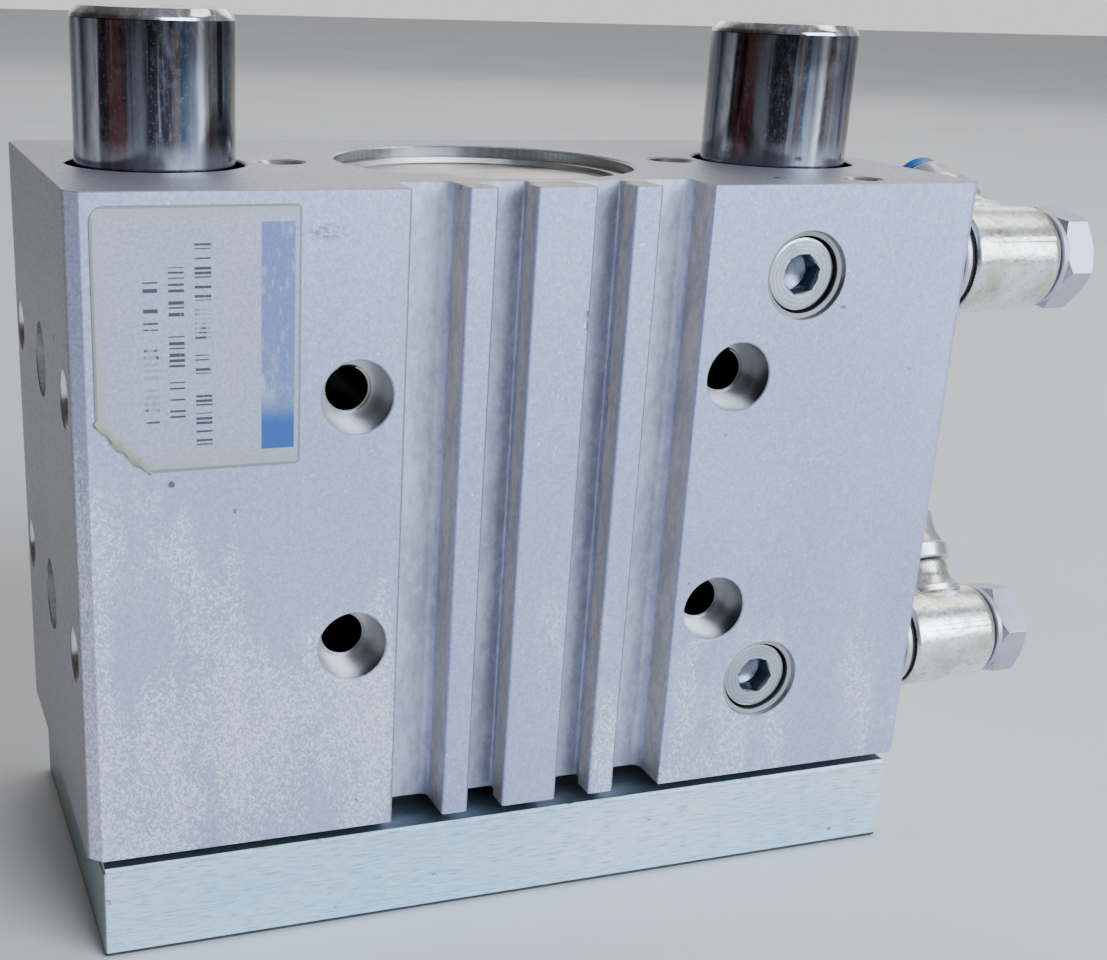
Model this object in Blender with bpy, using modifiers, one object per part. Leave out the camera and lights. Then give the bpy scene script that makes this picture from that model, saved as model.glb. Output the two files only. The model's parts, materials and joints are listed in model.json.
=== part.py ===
"""Compact guided pneumatic drive, 50 mm bore and 50 mm stroke, with two flow-control valves.

It stands on the outer face of its yoke plate. +Z runs along the stroke axis towards the free ends of
the guide rods, X is the width and Y the depth, with the front face at -Y. The origin is the centre of
the yoke plate's outer face. At rest the drive is retracted: the yoke plate is closed on the housing.
"""

import math

import bmesh
import bpy
from mathutils import Quaternion

MM = 0.001

# Housing: an extrusion whose ends are milled flat.
HOUSING_WIDTH = 148 * MM
HOUSING_DEPTH = 69 * MM
HOUSING_BOTTOM = 17.8 * MM
HOUSING_TOP = 120.3 * MM
EDGE_CHAMFER = 2.0 * MM
FRONT = -HOUSING_DEPTH / 2
BACK = HOUSING_DEPTH / 2
SIDE = HOUSING_WIDTH / 2

# Front profile, as distances from the middle plane and depths below the front face.
CENTRE_RIB_HALF = 4.9 * MM
OUTER_RIB_INNER = 11.1 * MM
OUTER_RIB_OUTER = 15.7 * MM
PANEL_EDGE = 24.5 * MM
GROOVE_DEPTH = 8.0 * MM
GROOVE_FILLET = 2.0 * MM
SLOT_LIP = 4.2 * MM
SLOT_DEPTH = 7.4 * MM
SLOT_UNDERCUT = 1.0 * MM

# Bores along Z.
PISTON_BORE = 25.0 * MM
RING_GROOVE = 26.3 * MM
GUIDE_BORE = 14.0 * MM
GUIDE_X = 55.0 * MM
GUIDE_ROD = 12.5 * MM
GUIDE_ROD_TOP = 143.3 * MM
PISTON_ROD = 10.0 * MM

# Holes: radius and depth. Tapped holes are plain holes at their thread's core, with a lead-in chamfer.
MOUNT_X = 32.0 * MM
MOUNT_HEIGHTS = (50.0 * MM, 90.0 * MM)
COUNTERBORE = (5.6 * MM, 5.5 * MM)
THROUGH_HOLE = 3.4 * MM
TAPPED = 3.5 * MM
TAPPED_CHAMFER = 0.8 * MM
TAPPED_DEPTH = 15.0 * MM
CENTRING = (6.2 * MM, 2.6 * MM)
SIDE_TAPPED_Y = 26.5 * MM
TOP_TAPPED_X = 35.0 * MM
CORNER_TAPPED = (55.0 * MM, -28.0 * MM)
CORNER_TAPPED_DEPTH = 9.0 * MM

# Supply ports: one pair on the front face, one pair on the right-hand side, into the same two chambers.
PORT_X = 42.5 * MM
PORT_Y = -24.0 * MM
PORT_HEIGHTS = {"upper": 106.0 * MM, "lower": 35.9 * MM}
PORT_RADIUS = 6.2 * MM
PORT_CHAMFER = 1.0 * MM
PORT_DEPTH = 14.0 * MM
AIR_PASSAGE = 2.5 * MM
AIR_PASSAGE_END = {"upper": (18 * MM, -8 * MM, 106.4 * MM), "lower": (18 * MM, -8 * MM, 33.0 * MM)}

# Yoke plate.
PLATE_WIDTH = 144 * MM
PLATE_DEPTH = 68 * MM
PLATE_THICKNESS = 16 * MM
PLATE_CHAMFER = 0.8 * MM
PLATE_TAPPED_Y = 20.0 * MM
ROD_SEAT_DEPTH = 1.0 * MM
ROD_SCREW_HEAD = 8.0 * MM
ROD_SCREW_SHANK = 4.8 * MM
ROD_SPIGOT = 6.0 * MM

# Gaps that keep neighbouring solids apart.
GAP = 0.3 * MM
SLIDING_GAP = 0.15 * MM

# Caps, rings and piston, as heights along Z.
STROKE = 50 * MM
REAR_CAP = (103.0 * MM, 118.4 * MM)
FRONT_CAP = (22.4 * MM, 36.0 * MM)
CAP_RELIEF = 19.5 * MM
CAP_RELIEF_LENGTH = 6.3 * MM
CAP_RING_SEAT = 22.6 * MM
RETAINING_RING_WIDTH = 1.3 * MM
RING_GROOVE_WIDTH = 1.6 * MM
REAR_RING_GROOVE = 113.0 * MM
FRONT_RING_GROOVE = 20.5 * MM
PISTON_LENGTH = REAR_CAP[0] - FRONT_CAP[1] - STROKE - 2 * GAP
PISTON_BOTTOM = REAR_CAP[0] - GAP - PISTON_LENGTH
CUSHION_THICKNESS = 1.2 * MM

# Flow-control valves, as distances along X from the housing's side face.
COLLAR = 9.1 * MM
COLLAR_START = 2.4 * MM
COLLAR_SHOULDER = 16.8 * MM
COLLAR_END = 20.2 * MM
COLLAR_END_RADIUS = 8.2 * MM
HOLLOW_SCREW_SHANK = 5.6 * MM
HEX_ROUND = 8.6 * MM
HEX_FLAT = 7.8 * MM
HEX_START = 21.8 * MM
HEX_END = 27.0 * MM
HEX_TURN_DEG = {"upper": 8.7, "lower": -15.0}
REGULATING_SCREW = 3.3 * MM
BRANCH_OFFSET = 10.7 * MM
BRANCH_TILT_DEG = {"upper": 25.0, "lower": 57.0}
NECK = 6.4 * MM
NECK_LENGTH = 13.0 * MM
FLANGE = 7.0 * MM
CONNECTOR_BARREL = 5.6 * MM
CONNECTOR_END = 22.6 * MM
RELEASE_RING = 4.8 * MM
RELEASE_RING_END = 25.4 * MM
RELEASE_TRAVEL = 1.0 * MM
HOSE_BORE = 3.05 * MM

# Sides of the round pieces.
LARGE_STEPS = 32
GUIDE_STEPS = 28
MEDIUM_STEPS = 20
SMALL_STEPS = 16
HOLE_STEPS = 10

# Colour, roughness and metallic value of each material.
FINISHES = {
    "anodised_aluminium": ((0.47, 0.49, 0.58), 0.48, 0.75),
    "ground_steel": ((0.50, 0.56, 0.62), 0.30, 1.0),
    "hard_chrome": ((0.55, 0.55, 0.58), 0.12, 1.0),
    "bright_steel": ((0.62, 0.64, 0.68), 0.28, 1.0),
    "spring_steel": ((0.16, 0.16, 0.17), 0.40, 0.9),
    "bearing_bronze": ((0.42, 0.30, 0.16), 0.45, 1.0),
    "black_rubber": ((0.02, 0.02, 0.02), 0.70, 0.0),
    "cushion_rubber": ((0.10, 0.12, 0.14), 0.80, 0.0),
    "magnet": ((0.08, 0.08, 0.09), 0.55, 0.3),
    "cast_zinc": ((0.58, 0.58, 0.56), 0.38, 0.95),
    "plated_brass": ((0.62, 0.62, 0.66), 0.30, 1.0),
    "blue_plastic": ((0.01, 0.13, 0.46), 0.35, 0.0),
    "label_film": ((0.56, 0.57, 0.62), 0.45, 0.0),
}

QUARTER = math.pi / 2
ALONG_Z = (0.0, 0.0, 0.0)
ALONG_X = (0.0, QUARTER, 0.0)
TO_LEFT = (0.0, -QUARTER, 0.0)
TO_FRONT = (QUARTER, 0.0, 0.0)
TO_BACK = (-QUARTER, 0.0, 0.0)
ALONG_MINUS_Z = (math.pi, 0.0, 0.0)


def clear_scene():
    for obj in list(bpy.data.objects):
        bpy.data.objects.remove(obj, do_unlink=True)
    for collection in list(bpy.data.collections):
        bpy.data.collections.remove(collection)


def make_collection(name, parent=None, helper=False):
    collection = bpy.data.collections.new(name)
    (parent or bpy.context.scene.collection).children.link(collection)
    collection.hide_render = helper
    return collection


def make_materials():
    for name, (colour, roughness, metallic) in FINISHES.items():
        material = bpy.data.materials.new(name)
        material.use_nodes = True
        shader = material.node_tree.nodes["Principled BSDF"]
        shader.inputs["Base Color"].default_value = (*colour, 1.0)
        shader.inputs["Roughness"].default_value = roughness
        shader.inputs["Metallic"].default_value = metallic


def place(obj, collection, at=(0, 0, 0), turn=ALONG_Z, parent=None):
    collection.objects.link(obj)
    obj.parent = parent
    obj.location = at
    obj.rotation_euler = turn
    return obj


def finish(obj, finish_name):
    """Give a sub-part its own material, copied from a finish, and smooth shading with sharp edges."""
    material = bpy.data.materials[finish_name].copy()
    material.name = obj.name + "_" + finish_name
    obj.data.materials.append(material)
    obj.data.shade_smooth()
    obj.data.set_sharp_from_angle(angle=math.radians(30))
    return obj


def pivot(name, at, turn=ALONG_Z, parent=None):
    empty = bpy.data.objects.new(name, None)
    empty.empty_display_size = 10 * MM
    return place(empty, PARTS, at, turn, parent)


def turned_mesh(name, profile):
    """Edges of a profile of (radius, height) points. One that starts off the axis is closed into a ring."""
    mesh = bpy.data.meshes.new(name)
    bm = bmesh.new()
    points = [bm.verts.new((radius, 0, height)) for radius, height in profile]
    for start, end in zip(points, points[1:]):
        bm.edges.new((start, end))
    if profile[0][0] > 0:
        bm.edges.new((points[-1], points[0]))
    bm.to_mesh(mesh)
    bm.free()
    return mesh


def turned(name, profile, steps, collection, **where):
    """A turned shape. Its profile runs down the outer side, then up the bore if it has one."""
    obj = place(bpy.data.objects.new(name, turned_mesh(name, profile)), collection, **where)
    screw = obj.modifiers.new("Turn", "SCREW")
    screw.steps = steps
    screw.render_steps = steps
    screw.use_merge_vertices = True
    screw.merge_threshold = 0.00001
    return obj


def tube_profile(outer, inner, low, high, chamfer=0.0):
    if chamfer:
        return [
            (outer - chamfer, high),
            (outer, high - chamfer),
            (outer, low + chamfer),
            (outer - chamfer, low),
            (inner, low),
            (inner, high),
        ]
    return [(outer, high), (outer, low), (inner, low), (inner, high)]


def rod_profile(radius, low, high, chamfer=0.0):
    if chamfer:
        return [
            (0, high),
            (radius - chamfer, high),
            (radius, high - chamfer),
            (radius, low + chamfer),
            (radius - chamfer, low),
            (0, low),
        ]
    return [(0, high), (radius, high), (radius, low), (0, low)]


def hole_profile(steps_down, bottom):
    """A hole's cutter: steps_down lists (radius, depth where that radius starts), from the face down."""
    above = 2 * MM
    profile = [(0, above), (steps_down[0][0], above)]
    for (radius, _), (next_radius, depth) in zip(steps_down, steps_down[1:]):
        profile.append((radius, -depth))
        profile.append((next_radius, -depth))
    last = steps_down[-1][0]
    return profile + [(last, -bottom), (0, -bottom)]


def tapped_profile(depth=TAPPED_DEPTH, radius=TAPPED, chamfer=TAPPED_CHAMFER):
    above = 0.5 * MM
    wide = radius + chamfer + above
    return [(0, above), (wide, above), (radius, -chamfer), (radius, -depth), (0, -depth)]


def as_cutter(obj):
    obj.hide_render = True
    obj.display_type = "WIRE"
    return obj


def outline_mesh(name, outline, low, high):
    """A prism on a closed outline of (x, y) points, made as a filled 2D curve and turned into a mesh."""
    curve = bpy.data.curves.new(name, "CURVE")
    curve.dimensions = "2D"
    curve.fill_mode = "BOTH"
    curve.extrude = (high - low) / 2
    spline = curve.splines.new("POLY")
    spline.points.add(len(outline) - 1)
    for point, (x, y) in zip(spline.points, outline):
        point.co = (x, y, 0, 1)
    spline.use_cyclic_u = True
    guide = bpy.data.objects.new(name, curve)
    bpy.context.scene.collection.objects.link(guide)
    graph = bpy.context.evaluated_depsgraph_get()
    mesh = bpy.data.meshes.new_from_object(guide.evaluated_get(graph))
    bpy.data.objects.remove(guide)
    bpy.data.curves.remove(curve)
    bm = bmesh.new()
    bm.from_mesh(mesh)
    bmesh.ops.remove_doubles(bm, verts=bm.verts, dist=0.00001)
    bmesh.ops.translate(bm, vec=(0, 0, (low + high) / 2), verts=bm.verts)
    bmesh.ops.recalc_face_normals(bm, faces=bm.faces)
    bm.to_mesh(mesh)
    bm.free()
    return mesh


def box_mesh(name, low, high):
    mesh = bpy.data.meshes.new(name)
    bm = bmesh.new()
    bmesh.ops.create_cube(bm, size=1)
    size = [b - a for a, b in zip(low, high)]
    bmesh.ops.scale(bm, vec=size, verts=bm.verts)
    bmesh.ops.translate(bm, vec=[(a + b) / 2 for a, b in zip(low, high)], verts=bm.verts)
    bm.to_mesh(mesh)
    bm.free()
    return mesh


def hexagon(across_flats, turn=0.0):
    radius = across_flats / math.sqrt(3)
    angles = [turn + math.radians(60 * i) for i in range(6)]
    return [(radius * math.cos(angle), radius * math.sin(angle)) for angle in angles]


def cut(obj, cutters):
    """Cut one set of cutters, a collection, out of an object."""
    modifier = obj.modifiers.new("Cut", "BOOLEAN")
    modifier.operation = "DIFFERENCE"
    modifier.operand_type = "COLLECTION"
    modifier.collection = cutters
    modifier.solver = "EXACT"
    return obj


def join(obj, other):
    modifier = obj.modifiers.new("Join", "BOOLEAN")
    modifier.operation = "UNION"
    modifier.object = other
    modifier.solver = "EXACT"
    return obj


def arc(centre, radius, start_deg, end_deg, pieces=4):
    """Points of an arc, both ends included."""
    points = []
    for i in range(pieces + 1):
        angle = math.radians(start_deg + (end_deg - start_deg) * i / pieces)
        points.append((centre[0] + radius * math.cos(angle), centre[1] + radius * math.sin(angle)))
    return points


def front_half_profile():
    """Right-hand half of the front profile, from the centre rib out to the corner chamfer."""
    slot_lip = FRONT + SLOT_LIP
    slot_floor = FRONT + SLOT_DEPTH
    groove_floor = FRONT + GROOVE_DEPTH
    fillet_y = groove_floor - GROOVE_FILLET
    inner_fillet = (OUTER_RIB_OUTER + GROOVE_FILLET, fillet_y)
    outer_fillet = (PANEL_EDGE - GROOVE_FILLET, fillet_y)
    return [
        (CENTRE_RIB_HALF, FRONT),
        (CENTRE_RIB_HALF, slot_lip),
        (CENTRE_RIB_HALF - SLOT_UNDERCUT, slot_lip),
        (CENTRE_RIB_HALF - SLOT_UNDERCUT, slot_floor),
        (OUTER_RIB_INNER + SLOT_UNDERCUT, slot_floor),
        (OUTER_RIB_INNER + SLOT_UNDERCUT, slot_lip),
        (OUTER_RIB_INNER, slot_lip),
        (OUTER_RIB_INNER, FRONT),
        (OUTER_RIB_OUTER, FRONT),
        *arc(inner_fillet, GROOVE_FILLET, 180, 90),
        *arc(outer_fillet, GROOVE_FILLET, 90, 0),
        (PANEL_EDGE, FRONT),
        (SIDE - EDGE_CHAMFER, FRONT),
        (SIDE, FRONT + EDGE_CHAMFER),
    ]


def housing_outline():
    right = front_half_profile() + [(SIDE, BACK - EDGE_CHAMFER), (SIDE - EDGE_CHAMFER, BACK)]
    left = [(-x, y) for x, y in reversed(right)]
    return right + left


def piston_bore_profile():
    top = HOUSING_TOP + 1 * MM
    bottom = HOUSING_BOTTOM - 1 * MM
    profile = [(0, top), (PISTON_BORE, top)]
    for groove in (REAR_RING_GROOVE, FRONT_RING_GROOVE):
        profile += [
            (PISTON_BORE, groove + RING_GROOVE_WIDTH),
            (RING_GROOVE, groove + RING_GROOVE_WIDTH),
            (RING_GROOVE, groove),
            (PISTON_BORE, groove),
        ]
    return profile + [(PISTON_BORE, bottom), (0, bottom)]


def add_passage(name, start, end, cutters):
    """A drilled air passage between two points."""
    direction = [b - a for a, b in zip(start, end)]
    length = math.sqrt(sum(step * step for step in direction))
    tilt = math.acos(direction[2] / length)
    turn = (0.0, tilt, math.atan2(direction[1], direction[0]))
    as_cutter(turned(name, rod_profile(AIR_PASSAGE, 0, length), HOLE_STEPS, cutters, at=start, turn=turn))


def housing_cutters():
    cutters = make_collection("housing cutters", CUTTERS, helper=True)

    def hole(name, profile, steps, at, turn=ALONG_Z):
        as_cutter(turned(name, profile, steps, cutters, at=at, turn=turn))

    hole("piston bore", piston_bore_profile(), LARGE_STEPS, (0, 0, 0))
    guide = rod_profile(GUIDE_BORE, HOUSING_BOTTOM - 1 * MM, HOUSING_TOP + 1 * MM)
    mount = hole_profile(
        [(COUNTERBORE[0], 0), (THROUGH_HOLE, COUNTERBORE[1]), (TAPPED, HOUSING_DEPTH - TAPPED_DEPTH)],
        HOUSING_DEPTH + 1 * MM,
    )
    side_centring = hole_profile([(CENTRING[0], 0)], CENTRING[1])
    for side in (-1, 1):
        hole("guide bore", guide, GUIDE_STEPS, (side * GUIDE_X, 0, 0))
        hole("top tapped", tapped_profile(), HOLE_STEPS, (side * TOP_TAPPED_X, 0, HOUSING_TOP))
        outward = ALONG_X if side > 0 else TO_LEFT
        for height in MOUNT_HEIGHTS:
            hole("mounting hole", mount, SMALL_STEPS, (side * MOUNT_X, FRONT, height), TO_FRONT)
            hole("side centring", side_centring, SMALL_STEPS, (side * SIDE, 0, height), outward)
            for y in (-SIDE_TAPPED_Y, SIDE_TAPPED_Y):
                hole("side tapped", tapped_profile(), HOLE_STEPS, (side * SIDE, y, height), outward)
    hole(
        "corner tapped",
        tapped_profile(depth=CORNER_TAPPED_DEPTH),
        HOLE_STEPS,
        (*CORNER_TAPPED, HOUSING_TOP),
    )
    port = tapped_profile(PORT_DEPTH, PORT_RADIUS, PORT_CHAMFER)
    cross_drill = rod_profile(AIR_PASSAGE, -(SIDE - PORT_X), -PORT_DEPTH + 1 * MM)
    for which, height in PORT_HEIGHTS.items():
        hole("front port", port, MEDIUM_STEPS, (PORT_X, FRONT, height), TO_FRONT)
        hole("side port", port, MEDIUM_STEPS, (SIDE, PORT_Y, height), ALONG_X)
        hole("cross drilling", cross_drill, HOLE_STEPS, (SIDE, PORT_Y, height), ALONG_X)
        add_passage("air passage", (PORT_X, PORT_Y, height), AIR_PASSAGE_END[which], cutters)
    return cutters


def build_housing():
    mesh = outline_mesh("housing", housing_outline(), HOUSING_BOTTOM, HOUSING_TOP)
    housing = place(bpy.data.objects.new("housing", mesh), PARTS)
    finish(cut(housing, housing_cutters()), "anodised_aluminium")


def build_caps():
    low, high = REAR_CAP
    outer = PISTON_BORE - GAP
    seat = (110.0 * MM, 112.2 * MM)
    ring_seat = 22.8 * MM
    ring_seat_top = REAR_RING_GROOVE + RING_GROOVE_WIDTH
    dish = 22.4 * MM
    dish_floor = high - 1.0 * MM
    rear = [
        (0, dish_floor),
        (dish, dish_floor),
        (dish, high),
        (outer - 0.3 * MM, high),
        (outer, high - 0.3 * MM),
        (outer, ring_seat_top),
        (ring_seat, ring_seat_top),
        (ring_seat, REAR_RING_GROOVE),
        (outer, REAR_RING_GROOVE),
        (outer, seat[1]),
        (CAP_RING_SEAT, seat[1]),
        (CAP_RING_SEAT, seat[0]),
        (outer, seat[0]),
        (outer, low + CAP_RELIEF_LENGTH),
        (CAP_RELIEF, low + CAP_RELIEF_LENGTH),
        (CAP_RELIEF, low),
        (0, low),
    ]
    finish(turned("rear_cap", rear, LARGE_STEPS, PARTS), "anodised_aluminium")
    o_ring = tube_profile(outer, CAP_RING_SEAT + GAP, seat[0] + GAP, seat[1] - GAP)
    finish(turned("rear_cap_o_ring", o_ring, LARGE_STEPS, PARTS), "black_rubber")

    low, high = FRONT_CAP
    seat = (24.6 * MM, 27.0 * MM)
    lip = PISTON_ROD + 0.4 * MM
    bush_seat = 12.0 * MM
    seal_seat = 14.2 * MM
    bush_top = high - 1.5 * MM
    bush_bottom = low + 4.6 * MM
    front = [
        (CAP_RELIEF, high),
        (CAP_RELIEF, high - CAP_RELIEF_LENGTH),
        (outer, high - CAP_RELIEF_LENGTH),
        (outer, seat[1]),
        (CAP_RING_SEAT, seat[1]),
        (CAP_RING_SEAT, seat[0]),
        (outer, seat[0]),
        (outer, low),
        (seal_seat, low),
        (seal_seat, bush_bottom),
        (bush_seat, bush_bottom),
        (bush_seat, bush_top),
        (lip, bush_top),
        (lip, high),
    ]
    finish(turned("bearing_cap", front, LARGE_STEPS, PARTS), "anodised_aluminium")
    o_ring = tube_profile(outer, CAP_RING_SEAT + GAP, seat[0] + GAP, seat[1] - GAP)
    finish(turned("bearing_cap_o_ring", o_ring, LARGE_STEPS, PARTS), "black_rubber")
    running = PISTON_ROD + SLIDING_GAP
    bush = tube_profile(bush_seat - 0.2 * MM, running, bush_bottom + GAP, bush_top - GAP)
    finish(turned("piston_rod_bush", bush, MEDIUM_STEPS, PARTS), "bearing_bronze")
    seal = tube_profile(seal_seat - GAP, running, low + 1.0 * MM, bush_bottom - GAP, 0.6 * MM)
    finish(turned("piston_rod_seal", seal, MEDIUM_STEPS, PARTS), "black_rubber")


def open_ring_outline(outer, inner, gap_deg):
    """An open ring whose gap faces the front."""
    start = 270 + gap_deg / 2
    end = 630 - gap_deg / 2
    return arc((0, 0), outer, start, end, LARGE_STEPS) + arc((0, 0), inner, end, start, LARGE_STEPS)


def build_retaining_rings():
    """A snap ring behind the rear cap's rim, and a ring with eyes in front of the bearing cap."""
    play = (RING_GROOVE_WIDTH - RETAINING_RING_WIDTH) / 2
    low = REAR_RING_GROOVE + play
    outline = open_ring_outline(RING_GROOVE - GAP, PISTON_BORE - 1.6 * MM, 12)
    mesh = outline_mesh("rear_snap_ring", outline, low, low + RETAINING_RING_WIDTH)
    finish(place(bpy.data.objects.new("rear_snap_ring", mesh), PARTS), "spring_steel")

    low = FRONT_RING_GROOVE + play
    outline = open_ring_outline(RING_GROOVE - GAP, PISTON_BORE - 3.2 * MM, 20)
    mesh = outline_mesh("front_retaining_ring", outline, low, low + RETAINING_RING_WIDTH)
    ring = place(bpy.data.objects.new("front_retaining_ring", mesh), PARTS)
    eyes = make_collection("retaining ring eyes", CUTTERS, helper=True)
    eye_circle = PISTON_BORE - 1.4 * MM
    for side in (-1, 1):
        angle = math.radians(270 + side * 14)
        at = (eye_circle * math.cos(angle), eye_circle * math.sin(angle), low)
        as_cutter(turned("eye", rod_profile(0.8 * MM, -1 * MM, 3 * MM), 8, eyes, at=at))
    finish(cut(ring, eyes), "spring_steel")


def build_guide_bushes():
    outer = GUIDE_BORE - 0.2 * MM
    inner = GUIDE_ROD + SLIDING_GAP
    for side_name, x in (("left", -GUIDE_X), ("right", GUIDE_X)):
        for end_name, low in (("lower", 22 * MM), ("upper", 94 * MM)):
            bush = tube_profile(outer, inner, low, low + 22 * MM)
            name = f"{side_name}_{end_name}_guide_bush"
            finish(turned(name, bush, GUIDE_STEPS, PARTS, at=(x, 0, 0)), "bearing_bronze")
        scraper = tube_profile(outer, inner, HOUSING_BOTTOM + 0.8 * MM, 21.5 * MM)
        finish(turned(f"{side_name}_scraper_ring", scraper, GUIDE_STEPS, PARTS, at=(x, 0, 0)), "black_rubber")


def build_plugs():
    face = 1.6 * MM
    length = 10 * MM
    socket = 6.0 * MM
    head = PORT_RADIUS - GAP
    for which, height in PORT_HEIGHTS.items():
        at = (PORT_X, FRONT, height)
        name = which + "_blanking_plug"
        profile = rod_profile(head, -face - length, -face, 0.4 * MM)
        plug = turned(name, profile, MEDIUM_STEPS, PARTS, at=at, turn=TO_FRONT)
        sockets = make_collection(name + " socket", CUTTERS, helper=True)
        mesh = outline_mesh(name + "_socket", hexagon(socket, math.radians(10)), -face - 4.6 * MM, 0)
        as_cutter(place(bpy.data.objects.new(name + "_socket", mesh), sockets, at, TO_FRONT))
        finish(cut(plug, sockets), "bright_steel")


def build_yoke_plate():
    half_width = PLATE_WIDTH / 2
    half_depth = PLATE_DEPTH / 2
    mesh = box_mesh("yoke_plate", (-half_width, -half_depth, 0), (half_width, half_depth, PLATE_THICKNESS))
    plate = place(bpy.data.objects.new("yoke_plate", mesh), PARTS, parent=CARRIAGE)
    bevel = plate.modifiers.new("Edges", "BEVEL")
    bevel.width = PLATE_CHAMFER
    bevel.segments = 1
    cutters = make_collection("yoke plate cutters", CUTTERS, helper=True)
    head_depth = 8.8 * MM
    head_hole = ROD_SCREW_HEAD + 0.6 * MM
    shank_hole = ROD_SCREW_SHANK + 0.4 * MM
    screw_hole = hole_profile([(head_hole, 0), (shank_hole, head_depth)], 20 * MM)
    seat = hole_profile([(GUIDE_ROD + GAP, 0)], ROD_SEAT_DEPTH)
    tapped = tapped_profile(13 * MM)
    centring = hole_profile([(CENTRING[0], 0)], CENTRING[1])
    top = PLATE_THICKNESS
    for side in (-1, 1):
        x = side * GUIDE_X
        as_cutter(turned("rod screw", screw_hole, SMALL_STEPS, cutters, at=(x, 0, 0), turn=ALONG_MINUS_Z))
        as_cutter(turned("rod seat", seat, GUIDE_STEPS, cutters, at=(x, 0, top)))
        x = side * MOUNT_X
        as_cutter(turned("plate centring", centring, SMALL_STEPS, cutters, at=(x, 0, 0), turn=ALONG_MINUS_Z))
        for y in (-PLATE_TAPPED_Y, PLATE_TAPPED_Y):
            as_cutter(turned("plate tapped", tapped, HOLE_STEPS, cutters, at=(x, y, 0), turn=ALONG_MINUS_Z))
    spigot_hole = hole_profile([(ROD_SPIGOT + GAP, 0)], 11 * MM)
    as_cutter(turned("spigot hole", spigot_hole, SMALL_STEPS, cutters, at=(0, 0, top)))
    finish(cut(plate, cutters), "ground_steel")


def build_guide_rods():
    bottom = PLATE_THICKNESS - ROD_SEAT_DEPTH + GAP
    chamfer = 1.0 * MM
    hole = ROD_SCREW_SHANK + GAP
    hole_top = bottom + 20 * MM
    rod = [
        (0, GUIDE_ROD_TOP),
        (GUIDE_ROD - chamfer, GUIDE_ROD_TOP),
        (GUIDE_ROD, GUIDE_ROD_TOP - chamfer),
        (GUIDE_ROD, bottom),
        (hole, bottom),
        (hole, hole_top),
        (0, hole_top),
    ]
    head_low = 0.8 * MM
    head_high = 8.5 * MM
    screw = [
        (0, hole_top - 1 * MM),
        (ROD_SCREW_SHANK, hole_top - 1 * MM),
        (ROD_SCREW_SHANK, head_high),
        (ROD_SCREW_HEAD, head_high),
        (ROD_SCREW_HEAD, head_low + 0.5 * MM),
        (ROD_SCREW_HEAD - 0.5 * MM, head_low),
        (0, head_low),
    ]
    for side_name, x in (("left", -GUIDE_X), ("right", GUIDE_X)):
        name = side_name + "_guide_rod"
        finish(turned(name, rod, GUIDE_STEPS, PARTS, at=(x, 0, 0), parent=CARRIAGE), "hard_chrome")
        screw_obj = turned(name + "_screw", screw, SMALL_STEPS, PARTS, at=(x, 0, 0), parent=CARRIAGE)
        sockets = make_collection(name + " socket", CUTTERS, helper=True)
        mesh = outline_mesh(name + "_socket", hexagon(8 * MM), 0, head_low + 4 * MM)
        as_cutter(place(bpy.data.objects.new(name + "_socket", mesh), sockets, (x, 0, 0)))
        finish(cut(screw_obj, sockets), "spring_steel")


def build_piston_rod():
    foot = PLATE_THICKNESS + GAP
    spigot_low = 5.5 * MM
    neck = 6.0 * MM
    shoulder = PISTON_BOTTOM + CUSHION_THICKNESS
    neck_top = shoulder + 8 * MM
    screw_hole = 3.4 * MM
    profile = [
        (screw_hole, neck_top),
        (neck, neck_top),
        (neck, shoulder),
        (PISTON_ROD, shoulder),
        (PISTON_ROD, foot),
        (ROD_SPIGOT, foot),
        (ROD_SPIGOT, spigot_low),
        (0, spigot_low),
        (0, neck_top - 16 * MM),
        (screw_hole, neck_top - 16 * MM),
    ]
    obj = turned("piston_rod", profile, MEDIUM_STEPS, PARTS, parent=CARRIAGE)
    finish(obj, "hard_chrome")
    return neck, neck_top


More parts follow.
